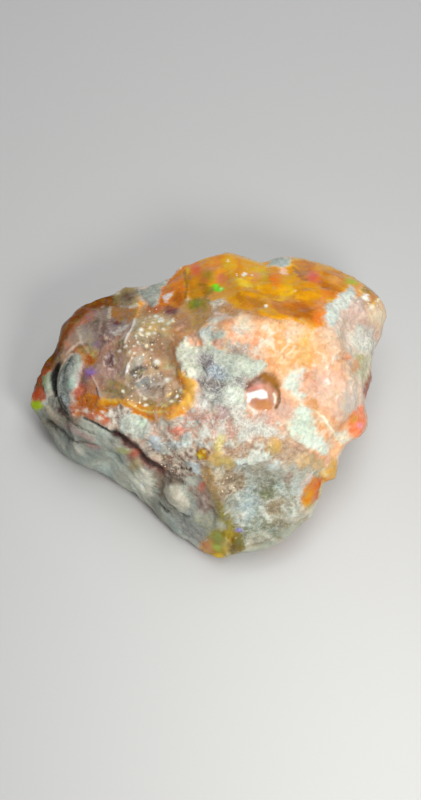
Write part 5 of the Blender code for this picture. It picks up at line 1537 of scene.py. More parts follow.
# facets of the bottom tip
lay(area([(212, 533), (219, 530), (222, 538), (218, 545), (211, 541)], soft=4.0, fray=0.9),
    srgb(166, 154, 58), rough_=0.1)
lay(spot(219, 539, 3.2, 3.0, 0, soft=0.9), srgb(172, 182, 70), rough_=0.1)
lay(area([(199, 545), (207, 540), (211, 543), (210, 552), (203, 551)], soft=4.0, fray=0.9),
    mix(srgb(214, 148, 92), srgb(198, 146, 104), 0.5 + n_tiny), rough_=0.15)
lay(area([(231, 536), (240, 534), (243, 543), (238, 551), (232, 548)], soft=4.6, fray=0.8),
    mix(srgb(160, 128, 50), srgb(138, 122, 56), 0.5 + n_tiny), rough_=0.08)
# painted highlight: a golden line down the tip
lay(line([(231, 539), (230, 547), (226, 553)], 1.3, soft=1.4, fray=0.5), srgb(214, 168, 62))
lay(spot(240, 542, 3.4, 4.4, 10, soft=0.9, fray=0.8), srgb(140, 132, 70), rough_=0.2)
lay(line([(222, 533), (223.5, 541), (223, 550)], 1.2, soft=1.3, fray=0.5), srgb(150, 126, 30))
lay(line([(233, 538), (234.5, 546), (233, 552)], 0.9, soft=1.0, fray=0.5), srgb(132, 92, 14))
lay(spot(225.5, 546, 3.4, 5.4, 0, soft=0.9, fray=0.6), srgb(240, 206, 96), rough_=0.08)

# ---- painted light and shade, region by region: places made darker, lighter or shifted in hue, darker towards the left end, the lower left wall and the bottom
tone(edge_ul, 0.62, 0.62, 0.45)
tone(spot(58, 354, 6, 12, 20, soft=0.8), 0.6, 0.6, 0.4)
tone(spot(37, 391, 8, 10, 0, soft=0.8), 0.62, 0.9, 0.8)
tone(slab, 0.88, 0.88, 0.88)
tone(spot(85, 335, 15, 16, 0, soft=0.8), 0.78, 0.73, 0.68)
tone(spot(89, 358, 10, 9, 0, soft=0.7), 0.66, 0.8, 0.72)
tone(spot(124, 296, 13, 8, 0, soft=0.7), 0.82, 0.77, 0.6)
tone(notch, 0.76, 0.77, 0.72)
tone(spot(155, 352, 13, 11, 0, soft=0.8), 0.88, 0.78, 0.74)
tone(spot(158, 324, 15, 10, -15, soft=0.8), 1.22, 1.18, 1.05)
# painted shade: the lower left end darker
tone(spot(62, 416, 28, 14, 30, soft=0.7), 0.62, 0.56, 0.52)
tone(crust * (1.0 - spot(185, 356, 14, 18, 0, soft=0.8)), 0.85, 0.86, 0.84)
tone(spot(250, 354, 16, 8, 0, soft=0.9), 0.84, 0.78, 0.74)
tone(spot(225, 422, 40, 12, 0, soft=0.8), 0.90, 0.84, 0.82)
tone(spot(262, 500, 42, 34, 0, soft=0.7), 0.82, 0.88, 0.90)
tone(spot(268, 537, 40, 15, 20, soft=0.7), 0.72, 0.77, 0.74)
tone(spot(185, 530, 30, 20, 45, soft=0.7), 0.80, 0.84, 0.88)
tone(spot(352, 396, 10, 12, 0, soft=0.8), 1.2, 1.16, 1.12)
tone(spot(337, 300, 12, 12, 0, soft=0.8), 1.2, 1.16, 1.14)

# painted light: lighter places along the honey band
tone(spot(190, 267, 7, 9, 15, soft=0.8), 1.25, 1.35, 1.2)
tone(spot(212, 263, 12, 6, -10, soft=0.8), 1.25, 1.3, 1.0)
tone(spot(230, 262, 8, 8, 0, soft=0.8), 1.22, 1.0, 0.7)
tone(spot(258, 272, 8, 5, 0, soft=0.8), 1.3, 1.25, 1.15)
tone(spot(285, 280, 8, 7, 0, soft=0.8), 1.25, 1.08, 1.1)
tone(spot(300, 268, 9, 6, -10, soft=0.8), 1.15, 1.4, 0.8)
tone(spot(306, 317, 12, 7, -15, soft=0.8), 0.76, 0.76, 1.0)
tone(spot(180, 299, 6, 8, 0, soft=0.8), 0.85, 0.88, 1.0)
tone(spot(100, 319, 9, 8, 0, soft=0.9), 0.8, 0.74, 0.64)
tone(spot(106, 342, 8, 8, 0, soft=0.9), 1.42, 1.18, 1.05)
tone(spot(121, 346, 6, 9, 0, soft=0.9), 0.78, 0.75, 0.62)
tone(spot(76, 361, 6, 8, 0, soft=0.8) * slab, 0.74, 0.75, 0.73)
tone(spot(58, 373, 4.5, 12, 10, soft=0.9), 0.74, 0.76, 0.74)
tone(spot(262, 380, 11, 5, 0, soft=0.9), 0.90, 0.95, 0.93)
tone(spot(320, 401, 15, 12, 0, soft=0.9), 0.93, 0.94, 0.94)
tone(spot(84, 385, 6, 8, 0, soft=0.9), 0.76, 0.88, 0.92)
tone(spot(205, 434, 7, 7, 0, soft=0.9), 1.25, 1.35, 1.35)
tone(spot(165, 451, 10, 6, 30, soft=0.9), 0.84, 0.78, 0.68)
tone(spot(62, 440, 14, 9, 35, soft=0.8), 0.66, 0.70, 0.72)
tone(spot(90, 457, 14, 6, 25, soft=0.9), 0.78, 0.87, 0.9)
tone(spot(114, 463, 14, 8, 35, soft=0.9), 1.2, 1.35, 1.42)
tone(spot(196, 491, 10, 8, 0, soft=0.9), 0.8, 0.8, 0.74)
tone(spot(213, 503, 8, 9, 0, soft=0.9), 0.82, 0.8, 0.7)
tone(spot(240, 470, 12, 5, 0, soft=0.9), 0.82, 0.78, 0.76)
tone(spot(241, 449, 14, 5, 0, soft=0.9), 0.86, 0.8, 0.76)
tone(spot(300, 350, 26, 14, 0, soft=0.9), 0.95, 0.9, 0.76)
tone(spot(250, 321, 12, 6, 0, soft=0.9), 0.96, 0.84, 0.72)
tone(spot(312, 381, 14, 12, 0, soft=0.9), 0.86, 0.83, 0.88)
tone(spot(222, 344, 9, 5, 0, soft=0.9), 1.12, 1.35, 1.38)
tone(spot(205, 344, 6, 6, 0, soft=0.9), 1.35, 1.2, 1.05)
tone(spot(203, 375, 8, 6, 0, soft=0.9), 1.5, 1.45, 1.5)
tone(spot(231, 396, 9, 9, 0, soft=0.9), 1.22, 1.25, 1.3)
tone(spot(201, 400, 8, 7, 0, soft=0.9), 1.2, 1.18, 1.18)

# more painted light and shade, place by place
tone(spot(75, 420, 7, 5, 25, soft=0.9), 0.80, 0.68, 0.62)
tone(spot(100, 445, 12, 8, 30, soft=0.9), 1.20, 1.24, 1.26)
tone(spot(140, 481, 13, 10, 45, soft=0.9), 1.28, 1.32, 1.34)
tone(spot(302, 428, 15, 20, -20, soft=0.6), 0.86, 0.88, 0.84)
tone(spot(320, 400, 16, 20, 0, soft=0.9), 0.92, 0.98, 1.0)
tone(spot(250, 430, 12, 6, 0, soft=0.9), 0.86, 0.88, 0.88)
tone(spot(235, 441, 9, 5, 0, soft=0.9), 0.80, 0.92, 0.94)
tone(spot(262, 534, 22, 9, 15, soft=0.8), 0.86, 0.88, 0.86)
tone(spot(250, 493, 14, 14, 0, soft=0.9), 0.88, 0.90, 0.92)
tone(spot(278, 484, 11, 7, 0, soft=0.9), 0.86, 0.93, 0.98)
tone(spot(190, 355, 8, 10, 0, soft=0.9), 1.12, 1.12, 1.12)
tone(spot(356, 372, 8, 10, 0, soft=0.9), 0.86, 0.88, 0.82)
tone(spot(367, 335, 8, 6, 0, soft=0.9), 0.96, 0.88, 0.9)
tone(spot(150, 394, 12, 8, 0, soft=0.9) * window, 1.02, 0.94, 0.82)
tone(spot(155, 351, 9, 8, 0, soft=0.9) * window, 0.95, 0.87, 0.82)
tone(spot(187, 390, 6, 14, 0, soft=0.9) * lip, 1.2, 1.2, 1.3)
tone(spot(185, 290, 7, 8, 0, soft=0.9), 1.22, 1.22, 0.9)
tone(spot(230, 465, 12, 5, 0, soft=0.9), 0.96, 1.08, 1.3)
tone(spot(273, 449, 7, 6, 0, soft=0.9), 0.84, 0.88, 0.9)
tone(spot(262, 380, 10, 5, 0, soft=0.9), 0.84, 0.88, 0.86)
tone(spot(220, 538, 14, 8, 0, soft=0.9), 0.94, 1.0, 0.94)
tone(spot(97, 343, 5, 4, 0, soft=0.9), 1.2, 1.22, 1.14)
tone(spot(95, 395, 6, 5, 0, soft=0.9), 1.0, 1.25, 1.6)
tone(spot(275, 486, 7, 5, 0, soft=0.9), 0.78, 0.82, 0.81)
tone(spot(75, 420, 6, 4, 25, soft=0.9), 0.90, 0.82, 0.78)
tone(oval, 0.86, 0.88, 0.7)
tone(spot(135, 448, 5, 4, 45, soft=0.9), 0.66, 0.84, 0.88)
tone(spot(146, 483, 6, 8, -20, soft=0.9), 1.12, 1.12, 1.1)
tone(spot(90, 360, 5, 5, 0, soft=0.9), 0.92, 0.86, 0.7)

# ---- glints: tiny swellings of clear opal, painted near-white as highlights
painted_glint_field = any_of(spot(158, 322, 19, 12, -15, soft=0.5), spot(145, 340, 13, 17, 0, soft=0.6),
                     spot(160, 372, 17, 14, 0, soft=0.7) * 0.55,
                     spot(172, 397, 16, 12, 0, soft=0.6), spot(128, 390, 16, 9, 0, soft=0.8) * 0.5,
                     spot(246, 275, 7, 5, 0, soft=0.9) * 0.3,
                     spot(370, 300, 10, 8, 0, soft=0.6), spot(172, 462, 16, 9, -15, soft=0.8) * 0.6,
                     grains * 0.5)
painted_glint = np.maximum(painted_glint, painted_glint_field)
for cx, cy, r in [(156, 317, 1.3), (161, 320, 1.9), (168.5, 323.5, 1.8), (172, 320.5, 1.2),
                  (144, 323, 1.1), (142, 335.5, 1.2), (150, 327, 1.1), (155, 333, 1.1),
                  (138, 343, 1.1), (133, 346, 1.0), (126, 347, 1.0), (164, 329, 1.0),
                  (141, 329, 1.7), (148, 334, 2.0), (140, 333, 1.3), (146, 347, 1.6),
                  (136, 336.5, 1.1), (153.5, 322.5, 1.2), (145, 318, 1.1), (150, 317, 1.2),
                  (129, 353, 1.3), (119.5, 351, 1.2), (134, 353, 1.0), (151, 350, 1.0),
                  (156, 363, 2.4), (167, 380, 1.8), (145, 398, 1.4), (135, 374.5, 1.0),
                  (146, 405, 1.4), (181, 391, 1.6), (176.5, 396, 1.2), (180.5, 401, 1.1),
                  (171, 401, 1.1), (123, 391, 1.2),
                  (245, 273.5, 1.8), (252, 275.5, 0.8), (266, 305.5, 1.1), (228, 261, 0.8),
                  (295, 291, 0.9), (142, 478, 1.4), (150, 487, 1.2)]:
    lay(spot(cx, cy, 1.4 * r, 1.2 * r, 15, soft=0.6, fray=0.45),
        mix(srgb(255, 254, 244), srgb(255, 240, 190), 0.25 + 1.2 * n_tiny), rough_=0.05,
        clear_=0.0, lift_=0.07)
# painted glints: short yellow highlights
for cx, cy, rx, turn in [(168, 394, 3.4, 35), (165, 406.5, 2.8, -15), (183, 391, 2.4, 0)]:
    lay(spot(cx, cy, rx, 1.3, turn, soft=0.6, fray=0.3), srgb(250, 212, 116), rough_=0.05,
        clear_=0.0, lift_=0.05)

# ---- the glassy bead
bead = spot(262, 393, 16.5, 17.5, 0, soft=0.14, fray=0.3)
lay(bead, mix(srgb(196, 140, 118), srgb(212, 156, 128), 0.5 + n_tiny), rough_=0.05, clear_=0.10,
    rind_=0.0, curl_=0.0, grit_=0.0)
# painted shade: a dark brown and olive arc over the bead's top
lay(line([(247, 387), (251, 382.5), (257, 379), (265, 378)], 3.6, soft=3.2, fray=0.6),
    srgb(126, 86, 64), rough_=0.08)
lay(line([(265, 377), (271, 379), (275.5, 384.5)], 5.0, soft=3.0, fray=0.4),
    srgb(156, 104, 44), rough_=0.08)
lay(line([(276.5, 386), (279, 394), (278.5, 402), (276, 408)], 1.6, soft=1.3, fray=0.3),
    srgb(128, 92, 50), rough_=0.08)
lay(line([(249, 389), (255, 388.5), (260, 386)], 1.4, soft=1.3, fray=0.3), srgb(222, 150, 138))
lay(area([(255, 401), (262, 399.5), (271, 401), (272, 409), (267, 411), (257, 409)], soft=1.2,
         fray=0.3), srgb(204, 140, 92), rough_=0.06)
# painted highlight: the white reflection on the bead, and a thin one down its right side
lay(area([(246, 393), (250, 393), (254, 392), (261, 389), (267, 392), (268.5, 398), (262, 399),
          (256, 397.5), (252, 399), (249, 404), (247, 402), (248, 397)], soft=0.8, fray=0.25),
    srgb(255, 252, 248), rough_=0.04, clear_=0.0)
lay(line([(273.5, 394), (275.5, 398), (274.5, 402)], 1.1, soft=0.8, fray=0.2),
    srgb(252, 248, 226), rough_=0.05)
lay(line([(246, 406), (252, 409), (256, 413)], 1.6, soft=1.2, fray=0.6), srgb(240, 226, 206))
print("marks painted")

# =====================================================================================
# 5. Fine relief, along the normals
# =====================================================================================
glass = np.clip(1.0 - rind * 1.4, 0.0, 1.0) * rise(clear, 0.1, 0.4)
shell = np.sqrt(chipping(P + 13.0, 2.6)), np.sqrt(chipping(P + 57.0, 1.1))
conchoid = 0.16 * (shell[0] ** 2 - 0.3) \
    + any_of(win_left, win_right) * (0.06 * (shell[1] ** 2 - 0.3) + 0.03 * grain(P, 0.5))
g1, g2, glot = chipping.cells(P + 71.0, 0.62)
h1, h2, hlot = chipping.cells(P + 37.0, 0.36)
beads = 0.16 * (0.5 - np.sqrt(g1)) + 0.08 * (0.5 - np.sqrt(h1))
chalky = 0.09 * grain(P + 19.0, 0.9) + 0.04 * grain(P + 29.0, 0.5) + 0.16 * beads
grainy = 0.38 * beads + 0.10 * grain(P + 49.0, 0.8)
streaky = 0.20 * n_long + 0.02 * grain(P + 29.0, 0.6) + 0.35 * (chipping(P + 83.0, 2.3) - 0.25)
relief_all = glass * conchoid + (1.0 - glass) * (rind * chalky + (1.0 - rind) * grainy)
relief_all = relief_all * (1.0 - 0.7 * wall) + 0.7 * wall * streaky
smooth_here = any_of(bead, lip * 0.6, ridge * 0.5)
lift = lift + relief_all * (1.0 - 0.85 * smooth_here)
eased = wear_down(lift[:, None].repeat(3, axis=1), edges, 12, 0.5)[:, 0]
polish = any_of(band, shoulder, bead * 0.6)
lift = lift * (1.0 - polish) + eased * polish
polish = any_of(band, shoulder * 0.8)[:, None]
P = P * (1.0 - polish) + wear_down(P, edges, 30, 0.5) * polish

# painted shade: the hollows between grains are darker; each grain is also a little lighter or darker
# at random
crease_shade = rise(np.sqrt(g1), 0.45, 0.85) * (1.0 - glass) * (1.0 - smooth_here)
crease_shade2 = rise(np.sqrt(h1), 0.45, 0.85) * (1.0 - glass) * (1.0 - smooth_here)
tint = tint * (1.0 - 0.07 * crease_shade - 0.05 * crease_shade2)[:, None]
tint = tint * (1.0 + 0.10 * (glot - 0.5) * (1.0 - glass) + 0.08 * (hlot - 0.5) * (1.0 - glass)
               + 0.08 * glass * grain(P + 3.0, 0.8))[:, None]
tint = np.clip(tint, 0.003, 0.93)

# =====================================================================================
# 6. The stone's mesh
# =====================================================================================
M = to_model(P) - np.array([MIDDLE[0], MIDDLE[1], 0.0])
M[:, 2] = np.maximum(M[:, 2], 0.0)
nd = ND
seat_up = rise(M[:, 2], 0.02, 0.9)
P = P + nd * (lift * seat_up)[:, None]
M = to_model(P) - np.array([MIDDLE[0], MIDDLE[1], 0.0])
M[:, 2] = np.where(M[:, 2] < 0.02, 0.0, M[:, 2])


def make_piece(name, points, faces, material):
    mesh = bpy.data.meshes.new(name)
    mesh.vertices.add(len(points))
    mesh.vertices.foreach_set("co", (points * MM).astype(np.float32).ravel())
    width = faces.shape[1]
    mesh.loops.add(faces.size)
    mesh.loops.foreach_set("vertex_index", faces.astype(np.int32).ravel())
    mesh.polygons.add(len(faces))
    mesh.polygons.foreach_set("loop_start", np.arange(0, faces.size, width, dtype=np.int32))
    mesh.update(calc_edges=True)
    mesh.validate()
    mesh.shade_smooth()
    piece = bpy.data.objects.new(name, mesh)
    bpy.context.scene.collection.objects.link(piece)
    mesh.materials.append(material)
    return piece


def colour_attribute(mesh, name, values):
    layer = mesh.attributes.new(name, "FLOAT_COLOR", "POINT")
    rgba = np.ones((len(mesh.vertices), 4), np.float32)
    rgba[:, :3] = values
    layer.data.foreach_set("color", rgba.ravel())


class Nodes:
    """Short hand for building a node tree."""

    def __init__(self, name):
        self.material = bpy.data.materials.new(name)
        self.material.use_nodes = True
        self.tree = self.material.node_tree
        self.shader = self.tree.nodes["Principled BSDF"]
        self.output = self.tree.nodes["Material Output"]

    def add(self, kind, **inputs):
        node = self.tree.nodes.new(kind)
        for key, value in inputs.items():
            if key.startswith("_"):
                setattr(node, key[1:], value)
        for key, value in inputs.items():
            if key.startswith("_"):
                continue
            socket = node.inputs[int(key[1:]) if key[0] == "i" and key[1:].isdigit()
                                 else key.replace("_", " ")]
            self.put(socket, value)
        return node

    def put(self, socket, value):
        if isinstance(value, bpy.types.NodeSocket):
            self.tree.links.new(value, socket)
        elif isinstance(value, bpy.types.Node):
            self.tree.links.new(value.outputs[0], socket)
        else:
            socket.default_value = value

    def math(self, kind, a, b=0.0, c=None, clamp=False):
        extra = {} if c is None else {"i2": c}
        return self.add("ShaderNodeMath", _operation=kind, _use_clamp=clamp, i0=a, i1=b,
                        **extra).outputs[0]

    def ramp(self, value, stops):
        node = self.add("ShaderNodeValToRGB", i0=value)
        ramp = node.color_ramp
        while len(ramp.elements) < len(stops):
            ramp.elements.new(0.5)
        for element, (at, colour) in zip(ramp.elements, stops):
            element.position = at
            element.color = (*[float(c) for c in colour], 1.0)
        return node.outputs[0]

    def blend(self, kind, factor, a, b):
        node = self.add("ShaderNodeMix", _data_type="RGBA", _blend_type=kind)
        self.put(node.inputs[0], factor)
        self.put(node.inputs[6], a)
        self.put(node.inputs[7], b)
        return node.outputs[2]


def opal_material():
    k = Nodes("opal")
    place = k.add("ShaderNodeTexCoord").outputs["Object"]
    mm = k.add("ShaderNodeVectorMath", _operation="SCALE", Vector=place)
    mm.inputs["Scale"].default_value = 1000.0
    mm = mm.outputs[0]
    tint_in = k.add("ShaderNodeAttribute", _attribute_name="tint").outputs["Color"]
    finish = k.add("ShaderNodeAttribute", _attribute_name="finish").outputs["Color"]
    split = k.add("ShaderNodeSeparateColor", i0=finish)
    rough_in, clear_in, rind_in = split.outputs[0], split.outputs[1], split.outputs[2]

    fine = k.add("ShaderNodeTexNoise", Vector=mm, Scale=3.2, Detail=5.0, Roughness=0.62)
    tiny = k.add("ShaderNodeTexNoise", Vector=mm, Scale=9.0, Detail=3.0, Roughness=0.6)
    pits = k.add("ShaderNodeTexVoronoi", Vector=mm, Scale=3.6, Randomness=1.0)
    flecks = k.add("ShaderNodeTexNoise", Vector=mm, Scale=5.0, Detail=2.0, Roughness=0.5)

    # mottling: a little darker and lighter everywhere, more on the rind
    amount = k.math("MULTIPLY_ADD", rind_in, 0.55, 0.22)
    pattern = k.add("ShaderNodeSeparateColor",
                    i0=k.add("ShaderNodeAttribute", _attribute_name="pattern").outputs["Color"])
    curl_in, grit_in, painted_glint_in = pattern.outputs[0], pattern.outputs[1], pattern.outputs[2]
    mottle = k.ramp(fine.outputs[0], [(0.30, (0.55, 0.53, 0.52)), (0.50, (0.97, 0.96, 0.95)),
                                      (0.72, (1.12, 1.11, 1.08))])
    colour = k.blend("MULTIPLY", amount, tint_in, mottle)
    # dark pin-pricks and pale flecks in the rind
    prick = k.math("LESS_THAN", pits.outputs["Distance"], 0.15)
    prick = k.math("MULTIPLY", prick, k.math("MULTIPLY", rind_in, 0.22))
    colour = k.blend("MIX", prick, colour, (0.16, 0.14, 0.12, 1.0))
    pale = k.math("MULTIPLY_ADD", flecks.outputs[0], 7.0, -4.1, clamp=True)
    pale = k.math("MULTIPLY", pale, k.math("MULTIPLY_ADD", rind_in, 0.30, 0.04))
    colour = k.blend("MIX", pale, colour, (0.90, 0.88, 0.82, 1.0))
    # pale threads that curl over the rind, with darker ground between them
    curls = k.add("ShaderNodeTexNoise", Vector=mm, Scale=1.15, Detail=2.0, Roughness=0.55,
                  Distortion=1.0)
    off = k.math("ABSOLUTE", k.math("SUBTRACT", curls.outputs[0], 0.5))
    thread = k.math("MULTIPLY_ADD", off, -24.0, 1.0, clamp=True)
    ground = k.math("MULTIPLY_ADD", off, 8.0, -0.3, clamp=True)
    colour = k.blend("MULTIPLY", k.math("MULTIPLY", ground, k.math("MULTIPLY", curl_in, 0.55)),
                     colour, (0.56, 0.53, 0.53, 1.0))
    colour = k.blend("MIX", k.math("MULTIPLY", thread, k.math("MULTIPLY", curl_in, 0.62)),
                     colour, (0.86, 0.87, 0.80, 1.0))
    # sand-sized grains, each a little lighter or darker than the next
    sand = k.add("ShaderNodeTexVoronoi", Vector=mm, Scale=2.2, Randomness=1.0)
    luck = k.add("ShaderNodeSeparateColor", i0=sand.outputs["Color"])
    shade = k.ramp(luck.outputs[0], [(0.0, (0.74, 0.70, 0.66)), (0.35, (0.95, 0.94, 0.93)),
                                     (0.7, (1.03, 1.03, 1.02)), (1.0, (1.2, 1.19, 1.17))])
    colour = k.blend("MULTIPLY", k.math("MULTIPLY", grit_in, 0.75), colour, shade)
    # painted shade in the gaps between the sand grains, which the bump also sinks
    rim = k.math("MULTIPLY_ADD", sand.outputs["Distance"], 1.8, -0.6, clamp=True)
    colour = k.blend("MULTIPLY", k.math("MULTIPLY", rim, k.math("MULTIPLY", grit_in, 0.4)),
                     colour, (0.60, 0.56, 0.54, 1.0))
    # play of colour: fixed flakes of green, yellow, red and blue inside the clear opal
    flakes = k.add("ShaderNodeTexVoronoi", Vector=mm, Scale=1.5, Randomness=1.0)
    hue = k.add("ShaderNodeSeparateColor", i0=flakes.outputs["Color"])
    fire = k.ramp(hue.outputs[0], [(0.0, (0.85, 0.10, 0.03)), (0.3, (0.95, 0.35, 0.03)),
                                   (0.5, (0.80, 0.65, 0.05)), (0.7, (0.12, 0.60, 0.05)),
                                   (0.88, (0.10, 0.40, 0.45)), (1.0, (0.20, 0.14, 0.60))])
    lit = k.math("GREATER_THAN", hue.outputs[1], 0.72)
    lit = k.math("MULTIPLY", lit, k.math("MULTIPLY", clear_in, 0.42))
    colour = k.blend("MIX", lit, colour, fire)
    # painted glints: the odd grain of clear opal painted yellow-white, as a highlight
    bent = k.add("ShaderNodeVectorMath", _operation="MULTIPLY_ADD", i0=fine.outputs["Color"],
                 i1=(0.34, 0.34, 0.34), i2=mm)
    glint = k.add("ShaderNodeTexVoronoi", Vector=bent.outputs[0], Scale=2.3, Randomness=1.0)
    chance = k.add("ShaderNodeSeparateColor", i0=glint.outputs["Color"])
    size = k.math("MULTIPLY_ADD", chance.outputs[1], 0.20, 0.12)
    painted_glint_grain = k.math("MULTIPLY", k.math("LESS_THAN", glint.outputs["Distance"], size),
                   k.math("LESS_THAN", chance.outputs[0], k.math("MULTIPLY", painted_glint_in, 0.62)))
    white = k.ramp(chance.outputs[2], [(0.0, (0.93, 0.91, 0.86)), (0.5, (0.93, 0.86, 0.62)),
                                       (1.0, (0.92, 0.70, 0.28))])
    colour = k.blend("MIX", k.math("MULTIPLY", painted_glint_grain, 0.9), colour, white)
    k.put(k.shader.inputs["Base Color"], colour)

    wear = k.math("MULTIPLY_ADD", fine.outputs[0], 0.16, -0.08)
    k.put(k.shader.inputs["Roughness"], k.math("ADD", rough_in, wear, clamp=True))
    haze = k.math("MULTIPLY_ADD", fine.outputs[0], 0.5, 0.75)
    haze = k.math("MULTIPLY", haze, k.math("SUBTRACT", 1.0, painted_glint_grain))
    k.put(k.shader.inputs["Transmission Weight"], k.math("MULTIPLY", clear_in, haze, clamp=True))

    height = k.math("MULTIPLY", tiny.outputs[0], k.math("MULTIPLY_ADD", rind_in, 0.8, 0.04))
    height = k.math("ADD", height, k.math("MULTIPLY", fine.outputs[0],
                                          k.math("MULTIPLY_ADD", rind_in, 0.4, 0.06)))
    height = k.math("ADD", height, k.math("MULTIPLY", thread, k.math("MULTIPLY", curl_in, 0.8)))
    height = k.math("SUBTRACT", height, k.math("MULTIPLY", rim, k.math("MULTIPLY", grit_in, 0.9)))
    height = k.math("ADD", height, k.math("MULTIPLY", painted_glint_grain, 0.6))
    bump = k.add("ShaderNodeBump", Height=height, Strength=0.55, Distance=0.00006)
    k.put(k.shader.inputs["Normal"], bump)
    k.shader.inputs["IOR"].default_value = 1.45
    k.shader.inputs["Specular IOR Level"].default_value = 0.34
    k.shader.inputs["Subsurface Weight"].default_value = 0.18
    k.shader.inputs["Subsurface Radius"].default_value = (1.0, 0.45, 0.2)
    k.shader.inputs["Subsurface Scale"].default_value = 0.0012
    body = k.add("ShaderNodeVolumeAbsorption")
    body.inputs["Color"].default_value = (0.968, 0.695, 0.20, 1.0)
    body.inputs["Density"].default_value = 90.0
    k.tree.links.new(body.outputs[0], k.output.inputs["Volume"])
    return k.material


stone = make_piece("opal_stone_visual", M, quads, opal_material())
colour_attribute(stone.data, "tint", tint)
colour_attribute(stone.data, "finish", np.column_stack([rough, clear, rind]))
dull = np.clip(rind * 1.7, 0.0, 1.0)
dull_or_window = np.maximum(dull, any_of(win_left, win_right) * (1.0 - lip))
# curls, grit, and where glints are painted as highlights
colour_attribute(stone.data, "pattern", np.column_stack([curl * dull_or_window, grit * np.clip(
    dull + 0.2, 0.0, 1.0) * (1.0 - bead), painted_glint * (1.0 - bead)]))
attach(stone, "root")
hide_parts("opal_stone")


# =====================================================================================
# 7. Sealed in the clear opal: thin healed fractures and fire flakes
# =====================================================================================
def flake_material():
    k = Nodes("opal_veil")
    place = k.add("ShaderNodeTexCoord").outputs["Object"]
    mm = k.add("ShaderNodeVectorMath", _operation="SCALE", Vector=place)
    mm.inputs["Scale"].default_value = 1000.0
    tint_in = k.add("ShaderNodeAttribute", _attribute_name="tint").outputs["Color"]
    cloud = k.add("ShaderNodeTexNoise", Vector=mm.outputs[0], Scale=2.4, Detail=4.0)
    shade = k.ramp(cloud.outputs[0], [(0.3, (0.62, 0.60, 0.58)), (0.7, (1.0, 1.0, 1.0))])
    k.put(k.shader.inputs["Base Color"], k.blend("MULTIPLY", 0.8, tint_in, shade))
    k.put(k.shader.inputs["Roughness"], k.math("MULTIPLY_ADD", cloud.outputs[0], 0.3, 0.1))
    bump = k.add("ShaderNodeBump", Height=cloud.outputs[0], Strength=0.4, Distance=0.00005)
    k.put(k.shader.inputs["Normal"], bump)
    return k.material


def surface_at(px, py):
    """Nearest display-side vertex to the point (px, py) of the layout sheet."""
    return int(np.argmin((X - px) ** 2 + (Y - py) ** 2 + 1e6 * (FRONT < 0.5)))


def flakes_in(name, centres, colours, seed):
    rng = np.random.RandomState(seed)
    points, faces, tints = [], [], []
    for (px, py, deep, size), colour in zip(centres, colours):
        i = surface_at(px, py)
        normal = nd[i] / np.linalg.norm(nd[i])
        centre = P[i] - normal * deep
        tilt = normal + rng.normal(0, 0.45, 3)
        tilt /= np.linalg.norm(tilt)
        e1 = np.cross(tilt, (0.3, 0.9, 0.2))
        e1 /= np.linalg.norm(e1)
        e2 = np.cross(tilt, e1)
        around = 9
        radius = size * rng.uniform(0.55, 1.0, around)
        start = len(points)
        angle = np.arange(around) / around * 2 * math.pi
        for side in (1.0, -1.0):
            for r, t in zip(radius, angle):
                points.append(centre + e1 * r * math.cos(t) + e2 * r * 0.7 * math.sin(t)
                              + tilt * side * 0.02)
        points.append(centre + tilt * 0.05)
        points.append(centre - tilt * 0.05)
        top, bottom = start + 2 * around, start + 2 * around + 1
        for j in range(around):
            m = (j + 1) % around
            faces.append((start + j, start + m, top))
            faces.append((start + around + m, start + around + j, bottom))
            faces.append((start + m, start + j, start + around + j))
            faces.append((start + m, start + around + j, start + around + m))
        tints += [colour] * (2 * around + 2)
    pts = to_model(np.array(points)) - np.array([MIDDLE[0], MIDDLE[1], 0.0])
    piece = make_piece(name, pts, np.array(faces), flake_material())
    colour_attribute(piece.data, "tint", np.array(tints))
    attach(piece, "root")
    return piece


veil_spots = [(92, 322, 1.0, 1.2), (104, 334, 1.4, 1.5), (114, 352, 1.2, 1.3), (98, 352, 1.0, 0.9),
              (108, 372, 1.3, 1.4), (100, 386, 1.1, 1.1), (140, 340, 1.5, 1.5),
              (152, 352, 1.8, 1.3), (164, 340, 1.4, 1.1), (146, 372, 1.2, 1.4),
              (162, 386, 1.5, 1.2), (172, 372, 1.1, 0.9), (154, 398, 1.2, 1.2),
              (136, 392, 1.2, 1.0), (168, 402, 0.9, 0.8), (150, 328, 1.0, 0.8),
              (250, 290, 1.8, 1.4), (300, 306, 1.6, 1.5), (270, 300, 2.0, 1.4),
              (226, 270, 1.2, 1.0), (172, 294, 1.2, 1.1)]
veil_tints = [srgb(214, 200, 196)] * 16 + [srgb(236, 190, 110)] * 5
flakes_in("healed_fractures", veil_spots, veil_tints, 5)
fire_spots = [(91, 371, 0.5, 0.55), (217, 288, 0.4, 0.55), (96, 343, 0.6, 0.5),
              (197, 268, 0.5, 0.6), (313, 275, 0.5, 0.6), (288, 293, 0.6, 0.6),
              (352, 280, 0.4, 0.5), (36, 406, 0.4, 0.45), (232, 271, 0.5, 0.6),
              (145, 350, 0.8, 0.5), (246, 281, 0.5, 0.5), (158, 392, 0.7, 0.5)]
fire_tints = [VIOLET, GREEN, VIOLET, CORAL, CORAL, YELLOW, LIME, LIME, YELLOW,
              srgb(120, 190, 120), YELLOW, srgb(230, 120, 80)]
flakes_in("fire_flakes", fire_spots, fire_tints, 6)

# =====================================================================================
# 8. Floor, camera and light
# =====================================================================================
TARGET = np.array([-MIDDLE[0], -MIDDLE[1], SEAT_HEIGHT])
RIGHT = np.array([1.0, 0.0, 0.0])
UP = np.array([0.0, SIN_E, COS_E])
TOWARDS = np.array([0.0, -COS_E, SIN_E])


def at_display(u, v, w):
    return Vector((TARGET + RIGHT * u + UP * v + TOWARDS * w) * MM)


def aim(obj, spot_):
    way = spot_ - obj.location
    obj.rotation_euler = way.to_track_quat("-Z", "Y").to_euler()


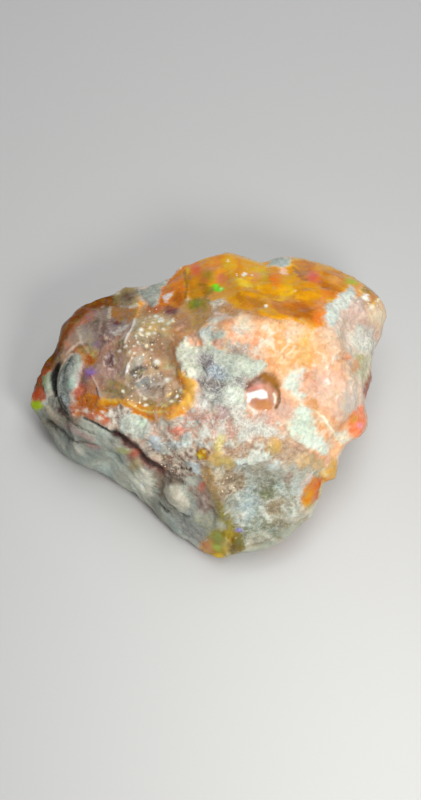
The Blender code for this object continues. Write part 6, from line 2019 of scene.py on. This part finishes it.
floor_mesh = bpy.data.meshes.new("floor")
half = 1.5
floor_mesh.from_pydata([(-half, -half, 0), (half, -half, 0), (half, half, 0), (-half, half, 0)],
                       [], [(0, 1, 2, 3)])
floor = bpy.data.objects.new("floor", floor_mesh)
bpy.context.scene.collection.objects.link(floor)
floor_paint = bpy.data.materials.new("floor")
floor_paint.use_nodes = True
floor_paint.node_tree.nodes["Principled BSDF"].inputs["Base Color"].default_value = \
    (0.52, 0.52, 0.51, 1.0)
floor_paint.node_tree.nodes["Principled BSDF"].inputs["Roughness"].default_value = 0.7
floor_mesh.materials.append(floor_paint)

camera_data = bpy.data.cameras.new("camera")
camera_data.sensor_fit = "VERTICAL"
camera_data.sensor_height = 36.0
camera_data.lens = 45.0
camera_data.clip_start = 0.005
camera_data.clip_end = 20.0
camera = bpy.data.objects.new("camera", camera_data)
bpy.context.scene.collection.objects.link(camera)
camera.location = at_display(0.0, 0.0, EYE)
camera.rotation_euler = (math.radians(90.0 - ELEVATION), 0.0, 0.0)
bpy.context.scene.camera = camera


def area_light(name, u, v, w, size, power, colour=(1, 1, 1), look=(2.0, 0.0, 10.0)):
    data = bpy.data.lights.new(name, "AREA")
    data.shape = "DISK"
    data.size = size * MM
    data.energy = power
    data.color = colour
    lamp = bpy.data.objects.new(name, data)
    lamp.visible_camera = False
    bpy.context.scene.collection.objects.link(lamp)
    lamp.location = at_display(u, v, w)
    aim(lamp, at_display(*look))
    return lamp


area_light("key", 34.0, -24.0, 84.0, 30.0, 0.056, (1.0, 0.98, 0.95))
area_light("glow", 40.0, 140.0, 95.0, 100.0, 0.08, (0.98, 0.99, 1.0))
area_light("overhead", 60.0, 420.0, 760.0, 900.0, 5.0, (0.98, 0.99, 1.0))

world = bpy.data.worlds.new("studio")
world.use_nodes = True
world.node_tree.nodes["Background"].inputs["Color"].default_value = (0.86, 0.88, 0.90, 1.0)
world.node_tree.nodes["Background"].inputs["Strength"].default_value = 0.12
bpy.context.scene.world = world
bpy.context.scene.view_settings.view_transform = "Standard"
